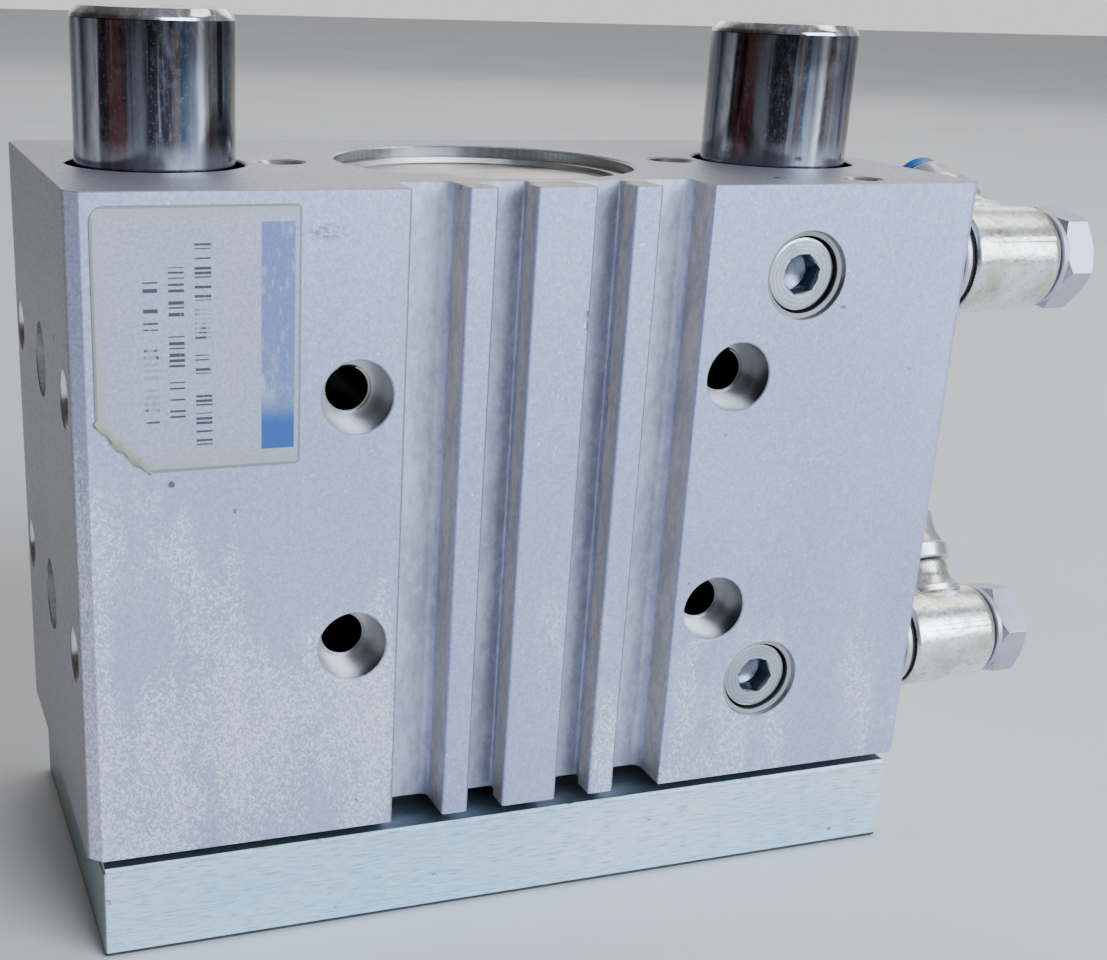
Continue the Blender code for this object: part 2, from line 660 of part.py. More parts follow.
def build_piston(neck, neck_top):
    """Two halves that hold the guide ring, the magnet and the seal between their flanges."""
    flange = PISTON_BORE - 0.5 * MM
    hub = 22.0 * MM
    cushion_inner = 14.0 * MM
    cushion_outer = 19.0 * MM
    bore = neck + GAP
    front_face = PISTON_BOTTOM + CUSHION_THICKNESS + GAP
    rear_face = PISTON_BOTTOM + PISTON_LENGTH - CUSHION_THICKNESS - GAP
    middle = (front_face + rear_face) / 2
    flange_width = 2.4 * MM
    front = [
        (hub, middle - SLIDING_GAP),
        (hub, front_face + flange_width),
        (flange, front_face + flange_width),
        (flange, front_face),
        (bore, front_face),
        (bore, middle - SLIDING_GAP),
    ]
    head = 7.6 * MM
    head_seat = rear_face - 4.2 * MM
    rear = [
        (flange, rear_face),
        (flange, rear_face - flange_width),
        (hub, rear_face - flange_width),
        (hub, middle + SLIDING_GAP),
        (bore, middle + SLIDING_GAP),
        (bore, head_seat),
        (head + GAP, head_seat),
        (head + GAP, rear_face),
    ]

    def carried(name, profile, finish_name, steps=LARGE_STEPS):
        return finish(turned(name, profile, steps, PARTS, parent=CARRIAGE), finish_name)

    carried("piston_front_half", front, "anodised_aluminium")
    carried("piston_rear_half", rear, "anodised_aluminium")
    inner = hub + 0.2 * MM
    low = front_face + flange_width + GAP
    high = rear_face - flange_width - GAP
    guide_high = low + 2.0 * MM
    magnet_high = guide_high + GAP + 1.8 * MM
    sliding = PISTON_BORE - SLIDING_GAP
    carried("piston_guide_ring", tube_profile(sliding, inner, low, guide_high), "cushion_rubber")
    magnet = tube_profile(flange - GAP, inner, guide_high + GAP, magnet_high)
    carried("piston_magnet", magnet, "magnet")
    carried("piston_seal", tube_profile(sliding, inner, magnet_high + GAP, high), "black_rubber")
    bottom = PISTON_BOTTOM
    top = PISTON_BOTTOM + PISTON_LENGTH
    front_cushion = tube_profile(cushion_outer, cushion_inner, bottom, bottom + CUSHION_THICKNESS)
    carried("front_cushion_ring", front_cushion, "cushion_rubber", MEDIUM_STEPS)
    rear_cushion = tube_profile(cushion_outer, cushion_inner, top - CUSHION_THICKNESS, top)
    carried("rear_cushion_ring", rear_cushion, "cushion_rubber", MEDIUM_STEPS)
    shank = 3.1 * MM
    screw = [
        (0, rear_face - GAP),
        (head, rear_face - GAP),
        (head, max(head_seat, neck_top) + GAP),
        (shank, max(head_seat, neck_top) + GAP),
        (shank, neck_top - 14 * MM),
        (0, neck_top - 14 * MM),
    ]
    carried("piston_screw", screw, "bright_steel", SMALL_STEPS)


def branch_turn(which):
    """Turn that points +Z along the branch: back and up from the valve's axis."""
    return (math.radians(BRANCH_TILT_DEG[which]) - QUARTER, 0.0, 0.0)


def build_hollow_screw(which, at):
    """The screw that holds the swivel body: fixed to the housing, drilled for the regulating screw."""
    name = which + "_hollow_screw"
    end = HEX_END
    chamfer = 0.6 * MM
    drilled = REGULATING_SCREW + GAP
    passage = 2.4 * MM
    drilled_floor = 12 * MM
    flange = COLLAR_END_RADIUS - 0.1 * MM
    profile = [
        (drilled, end),
        (HEX_ROUND - chamfer, end),
        (HEX_ROUND, end - chamfer),
        (HEX_ROUND, HEX_START - 0.4 * MM),
        (flange, HEX_START - 0.4 * MM),
        (flange, COLLAR_END + GAP),
        (HOLLOW_SCREW_SHANK, COLLAR_END + GAP),
        (HOLLOW_SCREW_SHANK, -PORT_DEPTH + 1.5 * MM),
        (passage, -PORT_DEPTH + 1.5 * MM),
        (passage, drilled_floor),
        (drilled, drilled_floor),
    ]
    screw = turned(name, profile, MEDIUM_STEPS, PARTS, at=at, turn=ALONG_X)
    flats = make_collection(name + " flats", CUTTERS, helper=True)
    size = 8 * MM
    for i in range(6):
        low = (HEX_FLAT, -size, HEX_START)
        high = (HEX_FLAT + size, size, HEX_END + size)
        flat = place(bpy.data.objects.new("flat", box_mesh("flat", low, high)), flats, at)
        angle = math.radians(60 * i + 30 + HEX_TURN_DEG[which])
        flat.rotation_mode = "QUATERNION"
        flat.rotation_quaternion = turn_about_valve_axis(angle)
        as_cutter(flat)
    finish(cut(screw, flats), "bright_steel")


def turn_about_valve_axis(angle):
    """Local +Z along world X, then turned about it by angle, where +X starts out pointing to the front."""
    stand = Quaternion((0, 1, 0), QUARTER)
    face_front = Quaternion((1, 0, 0), angle + QUARTER)
    return face_front @ stand


def build_swivel_body(which, swivel, branch):
    """Die-cast collar with its slanted branch, free to turn about the hollow screw."""
    name = which + "_swivel_body"
    bore = HOLLOW_SCREW_SHANK + GAP
    offset = BRANCH_OFFSET
    chamfer = 0.6 * MM
    profile = [
        (COLLAR_END_RADIUS, COLLAR_END - offset),
        (COLLAR - 0.25 * MM, COLLAR_SHOULDER + 1.6 * MM - offset),
        (COLLAR, COLLAR_SHOULDER - offset),
        (COLLAR, COLLAR_START + chamfer - offset),
        (COLLAR - chamfer, COLLAR_START - offset),
        (bore, COLLAR_START - offset),
        (bore, COLLAR_END - offset),
    ]
    body = turned(name, profile, MEDIUM_STEPS, PARTS, turn=ALONG_X, parent=swivel)
    joins = make_collection(name + " neck", CUTTERS, helper=True)
    neck_profile = rod_profile(NECK, bore + 0.8 * MM, NECK_LENGTH)
    neck = as_cutter(turned(name + "_neck", neck_profile, SMALL_STEPS, joins, parent=branch))
    join(body, neck)
    bores = make_collection(name + " bores", CUTTERS, helper=True)
    passage = rod_profile(3.6 * MM, 2 * MM, NECK_LENGTH + 1 * MM)
    as_cutter(turned(name + "_passage", passage, HOLE_STEPS, bores, parent=branch))
    finish(cut(body, bores), "cast_zinc")


def build_connector(which, branch):
    """Push-in connector at the end of the branch, with its blue release ring."""
    name = which + "_connector"
    low = NECK_LENGTH + GAP
    flange_end = low + 2.9 * MM
    sleeve_bore = 4.3 * MM
    profile = [
        (CONNECTOR_BARREL - 0.4 * MM, CONNECTOR_END),
        (CONNECTOR_BARREL, CONNECTOR_END - 0.4 * MM),
        (CONNECTOR_BARREL, flange_end + 1.8 * MM),
        (FLANGE - 0.6 * MM, flange_end),
        (FLANGE, flange_end - 0.5 * MM),
        (FLANGE, low + 0.4 * MM),
        (FLANGE - 0.4 * MM, low),
        (HOSE_BORE, low),
        (HOSE_BORE, flange_end),
        (sleeve_bore, flange_end),
        (sleeve_bore, CONNECTOR_END),
    ]
    finish(turned(name, profile, SMALL_STEPS, PARTS, parent=branch), "plated_brass")
    rim = CONNECTOR_END + RELEASE_TRAVEL
    sleeve = sleeve_bore - GAP
    ring = [
        (RELEASE_RING - 0.5 * MM, RELEASE_RING_END),
        (RELEASE_RING, RELEASE_RING_END - 0.6 * MM),
        (RELEASE_RING, rim),
        (sleeve, rim),
        (sleeve, flange_end + RELEASE_TRAVEL + GAP),
        (HOSE_BORE, flange_end + RELEASE_TRAVEL + GAP),
        (HOSE_BORE, RELEASE_RING_END),
    ]
    finish(turned(which + "_release_ring", ring, SMALL_STEPS, PARTS, parent=branch), "blue_plastic")


def build_valve(which):
    at = (SIDE, PORT_Y, PORT_HEIGHTS[which])
    inner = PORT_RADIUS
    washer = tube_profile(8.7 * MM, inner, 0.2 * MM, 1.4 * MM, 0.2 * MM)
    finish(turned(which + "_washer", washer, MEDIUM_STEPS, PARTS, at=at, turn=ALONG_X), "plated_brass")
    seal = tube_profile(8.4 * MM, inner, 1.5 * MM, COLLAR_START - 0.15 * MM)
    finish(turned(which + "_valve_seal", seal, MEDIUM_STEPS, PARTS, at=at, turn=ALONG_X), "black_rubber")
    build_hollow_screw(which, at)
    needle = 1.4 * MM
    regulating = [
        (0, HEX_END - 0.8 * MM),
        (REGULATING_SCREW - 0.3 * MM, HEX_END - 0.8 * MM),
        (REGULATING_SCREW, HEX_END - 1.1 * MM),
        (REGULATING_SCREW, 14 * MM),
        (needle, 12.6 * MM),
        (needle, 4 * MM),
        (0, 2.4 * MM),
    ]
    name = which + "_regulating_screw"
    screw = turned(name, regulating, SMALL_STEPS, PARTS, at=at, turn=ALONG_X)
    slots = make_collection(name + " slot", CUTTERS, helper=True)
    half = 0.5 * MM
    reach = 5 * MM
    slot = box_mesh(name + "_slot", (-half, -reach, HEX_END - 2.4 * MM), (half, reach, HEX_END + 1 * MM))
    as_cutter(place(bpy.data.objects.new(name + "_slot", slot), slots, at, ALONG_X))
    finish(cut(screw, slots), "bright_steel")
    centre = (SIDE + BRANCH_OFFSET, PORT_Y, PORT_HEIGHTS[which])
    swivel = pivot(which + " swivel pivot", centre)
    branch = pivot(which + " branch axis", (0, 0, 0), branch_turn(which), swivel)
    build_swivel_body(which, swivel, branch)
    build_connector(which, branch)


def build_label():
    """Plain sticker on the left-hand panel."""
    low = (-70.8 * MM, FRONT - 0.25 * MM, 80.6 * MM)
    high = (-40.9 * MM, FRONT - 0.05 * MM, 118.4 * MM)
    label = place(bpy.data.objects.new("label", box_mesh("label", low, high)), PARTS)
    finish(label, "label_film")


clear_scene()
make_materials()
PARTS = make_collection("guided pneumatic drive")
CUTTERS = make_collection("cutters", helper=True)
CARRIAGE = pivot("carriage slide", (0, 0, 0))

build_housing()
build_caps()
build_retaining_rings()
build_guide_bushes()
build_plugs()
build_label()
build_yoke_plate()
build_guide_rods()
build_piston(*build_piston_rod())
for port in PORT_HEIGHTS:
    build_valve(port)
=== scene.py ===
"""Looks of the compact guided pneumatic drive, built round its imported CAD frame."""

import json
import math

import bmesh
import bpy
from mathutils import Matrix, Vector

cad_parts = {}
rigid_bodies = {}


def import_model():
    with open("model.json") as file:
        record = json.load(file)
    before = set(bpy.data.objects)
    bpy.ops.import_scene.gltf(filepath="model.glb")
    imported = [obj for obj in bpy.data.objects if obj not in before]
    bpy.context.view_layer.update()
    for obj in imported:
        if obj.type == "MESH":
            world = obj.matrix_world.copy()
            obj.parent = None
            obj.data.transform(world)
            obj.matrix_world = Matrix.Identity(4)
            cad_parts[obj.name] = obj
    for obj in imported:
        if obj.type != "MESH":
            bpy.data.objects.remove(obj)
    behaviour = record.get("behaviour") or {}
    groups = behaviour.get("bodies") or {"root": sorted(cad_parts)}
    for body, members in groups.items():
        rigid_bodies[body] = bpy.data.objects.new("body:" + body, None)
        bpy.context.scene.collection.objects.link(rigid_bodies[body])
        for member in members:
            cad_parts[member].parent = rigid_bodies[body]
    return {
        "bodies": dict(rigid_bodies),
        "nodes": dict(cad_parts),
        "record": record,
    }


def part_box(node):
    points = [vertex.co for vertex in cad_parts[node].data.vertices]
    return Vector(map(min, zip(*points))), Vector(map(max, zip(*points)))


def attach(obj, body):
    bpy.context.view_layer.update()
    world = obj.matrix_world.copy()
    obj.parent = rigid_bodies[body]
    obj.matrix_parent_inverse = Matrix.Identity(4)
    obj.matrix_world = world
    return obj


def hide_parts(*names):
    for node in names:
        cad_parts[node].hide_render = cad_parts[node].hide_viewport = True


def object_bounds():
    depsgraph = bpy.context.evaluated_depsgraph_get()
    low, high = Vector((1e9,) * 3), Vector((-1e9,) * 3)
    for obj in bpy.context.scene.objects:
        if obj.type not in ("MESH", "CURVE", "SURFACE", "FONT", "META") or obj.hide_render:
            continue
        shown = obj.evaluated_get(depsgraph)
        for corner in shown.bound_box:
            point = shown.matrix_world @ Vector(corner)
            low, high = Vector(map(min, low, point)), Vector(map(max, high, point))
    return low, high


MM = 0.001
QUARTER = math.pi / 2

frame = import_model()
cad_low, cad_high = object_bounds()

# Places that the CAD frame gives.
housing_low, housing_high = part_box("housing")
plate_low, plate_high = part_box("yoke_plate")
rod_low, rod_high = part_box("left_guide_rod")
SIDE = housing_high.x
FRONT = housing_low.y
BACK = housing_high.y
BOTTOM = housing_low.z
TOP = housing_high.z
GUIDE_X = (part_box("right_guide_rod")[0].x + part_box("right_guide_rod")[1].x) / 2
GUIDE_RADIUS = (rod_high.y - rod_low.y) / 2
VALVE_Y = -24.0 * MM
PORT_X = 42.5 * MM
VALVES = {}
for which in ("upper", "lower"):
    low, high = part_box(which + "_blanking_plug")
    VALVES[which] = (low.z + high.z) / 2
BRANCH_TILT = {"upper": math.radians(25.0), "lower": math.radians(57.0)}
BRANCH_X = SIDE + 10.7 * MM
HEX_TURN = {"upper": math.radians(8.7), "lower": math.radians(-15.0)}

TO_RIGHT = Matrix.Rotation(QUARTER, 4, "Y")
TO_LEFT = Matrix.Rotation(-QUARTER, 4, "Y")
TO_FRONT = Matrix.Rotation(QUARTER, 4, "X")
TO_BACK = Matrix.Rotation(-QUARTER, 4, "X")
DOWNWARD = Matrix.Rotation(math.pi, 4, "X")
UPWARD = Matrix.Identity(4)


# ---------------------------------------------------------------- shapes


def mm(points):
    """Points given in millimetres, in metres."""
    return [tuple(value * MM for value in point) for point in points]


def place(x, y, z, turn=UPWARD):
    return Matrix.Translation((x, y, z)) @ turn


def new_object(name, bm, matrix=UPWARD):
    mesh = bpy.data.meshes.new(name)
    bmesh.ops.recalc_face_normals(bm, faces=bm.faces)
    bm.to_mesh(mesh)
    bm.free()
    mesh.transform(matrix)
    obj = bpy.data.objects.new(name, mesh)
    bpy.context.scene.collection.objects.link(obj)
    return obj


def lathe_bm(profile, steps):
    """Rings of (radius, height) points. A profile that starts off the axis is closed into a ring."""
    bm = bmesh.new()
    rings = []
    for radius, height in profile:
        if radius <= 0:
            rings.append([bm.verts.new((0, 0, height))])
            continue
        angles = [2 * math.pi * i / steps for i in range(steps)]
        rings.append([bm.verts.new((radius * math.cos(a), radius * math.sin(a), height)) for a in angles])
    pairs = list(zip(rings, rings[1:]))
    if profile[0][0] > 0:
        pairs.append((rings[-1], rings[0]))
    for one, two in pairs:
        for i in range(steps):
            j = (i + 1) % steps
            corners = [one[i % len(one)], two[i % len(two)], two[j % len(two)], one[j % len(one)]]
            unique = list(dict.fromkeys(corners))
            if len(unique) > 2:
                bm.faces.new(unique)
    return bm


def lathe(name, profile, steps=96, matrix=UPWARD):
    return new_object(name, lathe_bm(profile, steps), matrix)


def rounded_outline(corners, pieces=5):
    """Outline of (x, y, radius) corners, each corner turned into an arc of its radius."""
    outline = []
    count = len(corners)
    for i, (x, y, radius) in enumerate(corners):
        here = Vector((x, y))
        before = (Vector(corners[i - 1][:2]) - here).normalized()
        after = (Vector(corners[(i + 1) % count][:2]) - here).normalized()
        if radius <= 0:
            outline.append(here)
            continue
        half = before.angle(after) / 2
        reach = radius / math.tan(half)
        centre = here + (before + after).normalized() * (radius / math.sin(half))
        start = here + before * reach - centre
        end = here + after * reach - centre
        sweep = start.angle_signed(end)
        for k in range(pieces + 1):
            turn = Matrix.Rotation(-sweep * k / pieces, 2)
            outline.append(centre + turn @ start)
    return outline


def inset(outline, distance):
    """The outline moved inwards, corner by corner. It runs counter-clockwise."""
    moved = []
    count = len(outline)
    for i, here in enumerate(outline):
        one = (here - outline[i - 1]).normalized()
        two = (outline[(i + 1) % count] - here).normalized()
        normal = (Vector((-one.y, one.x)) + Vector((-two.y, two.x))).normalized()
        along = max(0.5, normal.dot(Vector((-one.y, one.x))))
        moved.append(here + normal * distance / along)
    return moved


def prism(name, outline, low, high, chamfer=0.0, matrix=UPWARD):
    """A prism on an outline, with chamfered rims."""
    bm = bmesh.new()
    levels = [(outline, low), (outline, high)]
    if chamfer:
        inner = inset(outline, chamfer)
        levels = [(inner, low), (outline, low + chamfer), (outline, high - chamfer), (inner, high)]
    rings = [[bm.verts.new((p.x, p.y, z)) for p in points] for points, z in levels]
    for one, two in zip(rings, rings[1:]):
        for i in range(len(one)):
            j = (i + 1) % len(one)
            bm.faces.new((one[i], one[j], two[j], two[i]))
    bm.faces.new(list(reversed(rings[0])))
    bm.faces.new(rings[-1])
    return new_object(name, bm, matrix)


def hexagon(across_flats, turn=0.0, corner=0.0):
    radius = across_flats / math.sqrt(3)
    angles = [turn + math.radians(60 * i) for i in range(6)]
    corners = [(radius * math.cos(a), radius * math.sin(a), corner) for a in angles]
    return rounded_outline(corners, 3)


def box(name, low, high, matrix=UPWARD):
    bm = bmesh.new()
    bmesh.ops.create_cube(bm, size=1)
    bmesh.ops.scale(bm, vec=[b - a for a, b in zip(low, high)], verts=bm.verts)
    bmesh.ops.translate(bm, vec=[(a + b) / 2 for a, b in zip(low, high)], verts=bm.verts)
    return new_object(name, bm, matrix)


def combine(obj, cutters, operation="DIFFERENCE"):
    """Cuts, joins or intersects the cutters with an object, and removes them."""
    helper = bpy.data.collections.new("helpers")
    bpy.context.scene.collection.children.link(helper)
    for cutter in cutters:
        bpy.context.scene.collection.objects.unlink(cutter)
        helper.objects.link(cutter)
    modifier = obj.modifiers.new("Combine", "BOOLEAN")
    modifier.operation = operation
    modifier.solver = "EXACT"
    modifier.operand_type = "COLLECTION"
    modifier.collection = helper
    if operation == "INTERSECT":
        modifier.operand_type = "OBJECT"
        modifier.object = cutters[0]
    apply_modifiers(obj)
    for cutter in cutters:
        bpy.data.objects.remove(cutter)
    bpy.data.collections.remove(helper)
    return obj


def apply_modifiers(obj):
    graph = bpy.context.evaluated_depsgraph_get()
    mesh = bpy.data.meshes.new_from_object(obj.evaluated_get(graph))
    obj.modifiers.clear()
    old = obj.data
    obj.data = mesh
    bpy.data.meshes.remove(old)
    mesh.name = obj.name


def show(obj, material, body, replaces=(), sharp=32, weighted=True):
    """Dresses a finished piece: its material, smooth shading, CAD body and material slot."""
    obj.data.materials.clear()
    obj.data.materials.append(material)
    obj.data.shade_smooth()
    obj.data.set_sharp_from_angle(angle=math.radians(sharp))
    if weighted:
        normals = obj.modifiers.new("Normals", "WEIGHTED_NORMAL")
        normals.keep_sharp = True
    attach(obj, body)
    if replaces:
        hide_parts(*replaces)
    return obj


# ---------------------------------------------------------------- materials


class Nodes:
    """Short names for the shader nodes that the materials and the world share."""

    def __init__(self, name, kind=bpy.data.materials, shader="Principled BSDF", place="Object"):
        self.material = kind.new(name)
        self.material.use_nodes = True
        self.tree = self.material.node_tree
        self.shader = self.tree.nodes[shader]
        self.place = self.tree.nodes.new("ShaderNodeTexCoord").outputs[place]

    def put(self, socket, value):
        if isinstance(value, bpy.types.NodeSocket):
            self.tree.links.new(value, socket)
        elif isinstance(value, tuple) and len(value) == 3 and socket.type == "RGBA":
            socket.default_value = (*value, 1.0)
        else:
            socket.default_value = value

    def set(self, name, value):
        self.put(self.shader.inputs[name], value)

    def math(self, operation, *values, clamp=False):
        node = self.tree.nodes.new("ShaderNodeMath")
        node.operation = operation
        node.use_clamp = clamp
        for socket, value in zip(node.inputs, values):
            self.put(socket, value)
        return node.outputs[0]

    def times(self, one, two):
        return self.math("MULTIPLY", one, two)

    def plus(self, one, two):
        return self.math("ADD", one, two)

    def minus(self, one, two):
        return self.math("SUBTRACT", one, two)

    def most(self, one, two):
        return self.math("MAXIMUM", one, two)

    def size(self, value):
        return self.math("ABSOLUTE", value)

    def below(self, value, limit):
        return self.math("LESS_THAN", value, limit)

    def above(self, value, limit):
        return self.math("GREATER_THAN", value, limit)

    def between(self, value, low, high):
        return self.times(self.above(value, low), self.below(value, high))

    def vector(self, operation, one, two):
        node = self.tree.nodes.new("ShaderNodeVectorMath")
        node.operation = operation
        self.put(node.inputs[0], one)
        self.put(node.inputs[1], two)
        return node.outputs

    def scaled(self, scale, offset=(0, 0, 0), rotation=(0, 0, 0)):
        node = self.tree.nodes.new("ShaderNodeMapping")
        self.put(node.inputs["Vector"], self.place)
        node.inputs["Scale"].default_value = scale
        node.inputs["Location"].default_value = offset
        node.inputs["Rotation"].default_value = rotation
        return node.outputs[0]

    def stretched(self, lengths, offset, rotation):
        """Texture place whose features are lengths times as long along turned axes."""
        vector = self.scaled(lengths, offset, rotation)
        vector.node.vector_type = "TEXTURE"
        return vector

    def noise(self, vector, scale=1.0, detail=3.0, roughness=0.55, distortion=0.0):
        node = self.tree.nodes.new("ShaderNodeTexNoise")
        self.put(node.inputs["Vector"], vector)
        node.inputs["Scale"].default_value = scale
        node.inputs["Detail"].default_value = detail
        node.inputs["Roughness"].default_value = roughness
        node.inputs["Distortion"].default_value = distortion
        return node.outputs[0]

    def grain(self, *values):
        return self.noise(self.place, *values)

    def ramp(self, value, low, high, to_low=0.0, to_high=1.0):
        node = self.tree.nodes.new("ShaderNodeMapRange")
        node.interpolation_type = "SMOOTHSTEP"
        for socket, number in zip(node.inputs, (value, low, high, to_low, to_high)):
            self.put(socket, number)
        return node.outputs[0]

    def mix(self, share, one, two):
        node = self.tree.nodes.new("ShaderNodeMix")
        node.data_type = "RGBA"
        self.put(node.inputs["Factor"], share)
        self.put(node.inputs[6], one)
        self.put(node.inputs[7], two)
        return node.outputs[2]

    def paint(self, colour, mask, share, tint):
        """The colour, with share of a tint where the mask is 1."""
        return self.mix(self.times(mask, share), colour, tint)

    def scale_colour(self, colour, factor):
        node = self.tree.nodes.new("ShaderNodeVectorMath")
        node.operation = "SCALE"
        self.put(node.inputs[0], colour)
        self.put(node.inputs["Scale"], factor)
        return node.outputs[0]

    def warm(self, colour):
        """The colour turned from lavender to a warm grey."""
        return self.vector("MULTIPLY", colour, (1.02, 0.93, 0.66))[0]

    def distance(self, point, scale=(1, 1, 1)):
        """Distance from a point, with each axis stretched by scale."""
        offset = self.vector("SUBTRACT", self.place, point)[0]
        stretched = self.vector("MULTIPLY", offset, scale)[0]
        return self.vector("LENGTH", stretched, (0, 0, 0))["Value"]

    def colours(self, value, stops):
        """A smooth run of colours over value, from (position, colour) stops."""
        node = self.tree.nodes.new("ShaderNodeValToRGB")
        node.color_ramp.interpolation = "EASE"
        bands = node.color_ramp.elements
        while len(bands) < len(stops):
            bands.new(0.5)
        for band, (position, colour) in zip(bands, stops):
            band.position = position
            band.color = (*colour, 1.0)
        self.put(node.inputs[0], value)
        return node.outputs[0]

    def axes(self):
        node = self.tree.nodes.new("ShaderNodeSeparateXYZ")
        self.put(node.inputs[0], self.place)
        return node.outputs

    def bump(self, height, distance, strength=1.0):
        node = self.tree.nodes.new("ShaderNodeBump")
        self.put(node.inputs["Height"], height)
        node.inputs["Distance"].default_value = distance
        node.inputs["Strength"].default_value = strength
        return node.outputs[0]

    def edges(self, radius, low=0.02, high=0.25):
        """1 near a sharp edge, 0 on flat faces."""
        rounded = self.tree.nodes.new("ShaderNodeBevel")
        rounded.samples = 4
        rounded.inputs["Radius"].default_value = radius
        flat = self.tree.nodes.new("ShaderNodeNewGeometry")
        alike = self.vector("DOT_PRODUCT", rounded.outputs[0], flat.outputs["Normal"])["Value"]
        return self.ramp(self.minus(1.0, alike), low, high)


def anodised(name):
    """Bead-blasted, clear-anodised aluminium with fine pale worms low down, and bare metal in its holes."""
    n = Nodes(name)
    x, y, z = n.axes()
    tint = (0.465, 0.490, 0.695)
    grain = n.grain(3000, 2)
    speckle = n.grain(1900, 4, 0.75)
    clouds = n.noise(n.scaled((1, 1, 0.6)), 24, 5, 0.6)
    draw = n.noise(n.scaled((1, 1, 0.035)), 420, 4, 0.65)
    colour = n.mix(n.ramp(clouds, 0.32, 0.72), tuple(c * 0.93 for c in tint), tuple(c * 1.05 for c in tint))
    shade = n.ramp(speckle, 0.34, 0.66, 0.86, 1.13)
    colour = n.scale_colour(colour, shade)
    flecks = n.ramp(n.noise(n.scaled((1, 1, 0.7), (0.4, 0, 0)), 2300, 2, 0.6), 0.66, 0.72)
    colour = n.paint(colour, flecks, 0.65, (0.90, 0.93, 1.0))
    colour = n.paint(colour, n.ramp(draw, 0.56, 0.80), 0.16, (0.66, 0.68, 0.78))
    rough = n.ramp(speckle, 0.3, 0.75, 0.55, 0.40)

    # Pale worms: thin contour lines of a noise, denser towards the foot.
    lower = n.ramp(z, 105 * MM, 22 * MM)
    streaks = n.noise(n.scaled((1, 1, 0.10)), 85, 4, 0.65)
    patches = n.noise(n.scaled((1, 1, 0.55)), 30, 4, 0.6)
    dense = n.plus(n.times(streaks, 0.8), n.times(patches, 1.0))
    dense = n.plus(dense, n.times(lower, 0.30))
    outer_left = n.times(n.ramp(x, -16 * MM, -40 * MM), 0.22)
    region = n.ramp(n.plus(dense, outer_left), 1.18, 1.56)
    region = n.times(region, n.below(y, FRONT + 9 * MM))
    width = n.size(x)
    region = n.times(region, n.below(width, SIDE - 0.3 * MM))
    line = n.size(n.minus(n.noise(n.scaled((1, 1, 0.7)), 1400, 2, 0.5, 0.5), 0.5))
    broken = n.noise(n.scaled((1, 1, 0.8), (0.7, 0, 0)), 1500, 2, 0.5)
    broken = n.ramp(n.plus(broken, n.times(region, 0.14)), 0.53, 0.59)
    worms = n.times(n.ramp(line, 0.050, 0.022), broken)
    more = n.times(n.minus(1.0, region), 0.10)
    for turn, seed in ((0.1, 0.0), (0.9, 0.31), (-0.8, 0.62)):
        stroke = n.noise(n.stretched((1, 1, 2.8), (seed, 0, 0), (0, turn, 0)), 2500, 1, 0.5)
        worms = n.most(worms, n.ramp(n.minus(stroke, more), 0.585, 0.625))
    worms = n.times(worms, n.ramp(region, 0.0, 0.40))
    colour = n.paint(colour, worms, 0.85, (0.92, 0.93, 1.0))
    colour = n.paint(colour, region, 0.26, (0.76, 0.77, 0.86))

    # The grooves are blotched; each groove's floor is painted lighter and bluer as painted light, and each
    # side wall darker and warmer as painted shade.
    in_grooves = n.between(y, FRONT + 0.6 * MM, FRONT + 8.2 * MM)
    in_grooves = n.times(n.between(x, -24.7 * MM, 24.7 * MM), in_grooves)
    blotch = n.noise(n.scaled((1, 1, 0.3)), 210, 5, 0.7)
    fine_blotch = n.noise(n.scaled((1, 1, 0.6)), 800, 4, 0.7)
    blotch = n.plus(n.times(blotch, 0.5), n.times(fine_blotch, 0.5))
    blotched_lit_floors = n.mix(n.ramp(blotch, 0.40, 0.58), (0.52, 0.56, 0.69), (0.75, 0.80, 0.97))
    blotched_shaded_walls = n.mix(n.ramp(blotch, 0.42, 0.58), (0.44, 0.38, 0.31), (0.62, 0.55, 0.45))
    blotched_groove_light_and_shade = n.mix(n.ramp(y, FRONT + 6.0 * MM, FRONT + 7.0 * MM), blotched_shaded_walls, blotched_lit_floors)
    colour = n.paint(colour, in_grooves, 0.80, blotched_groove_light_and_shade)

    # A dark line of painted shade runs along the right-hand arrises of the ribs, where each rib's edge meets
    # its groove.
    for arris in (-24.7, -11.3, 4.7, 15.5):
        line = n.ramp(n.size(n.minus(x, arris * MM)), 0.24 * MM, 0.12 * MM)
        line = n.times(line, n.below(y, FRONT + 0.5 * MM))
        colour = n.paint(colour, line, 0.6, (0.11, 0.12, 0.15))

    # Painted shade: the left end and the top are darker and browner, where less light falls on them.
    left_end_shade = n.ramp(x, -SIDE + 0.5 * MM, -SIDE + 0.1 * MM)
    colour = n.paint(colour, left_end_shade, 0.90, n.scale_colour(n.warm(colour), 0.60))
    above = n.ramp(z, TOP - 0.12 * MM, TOP - 0.04 * MM)
    colour = n.paint(colour, above, 0.70, n.scale_colour(n.warm(colour), 0.72))

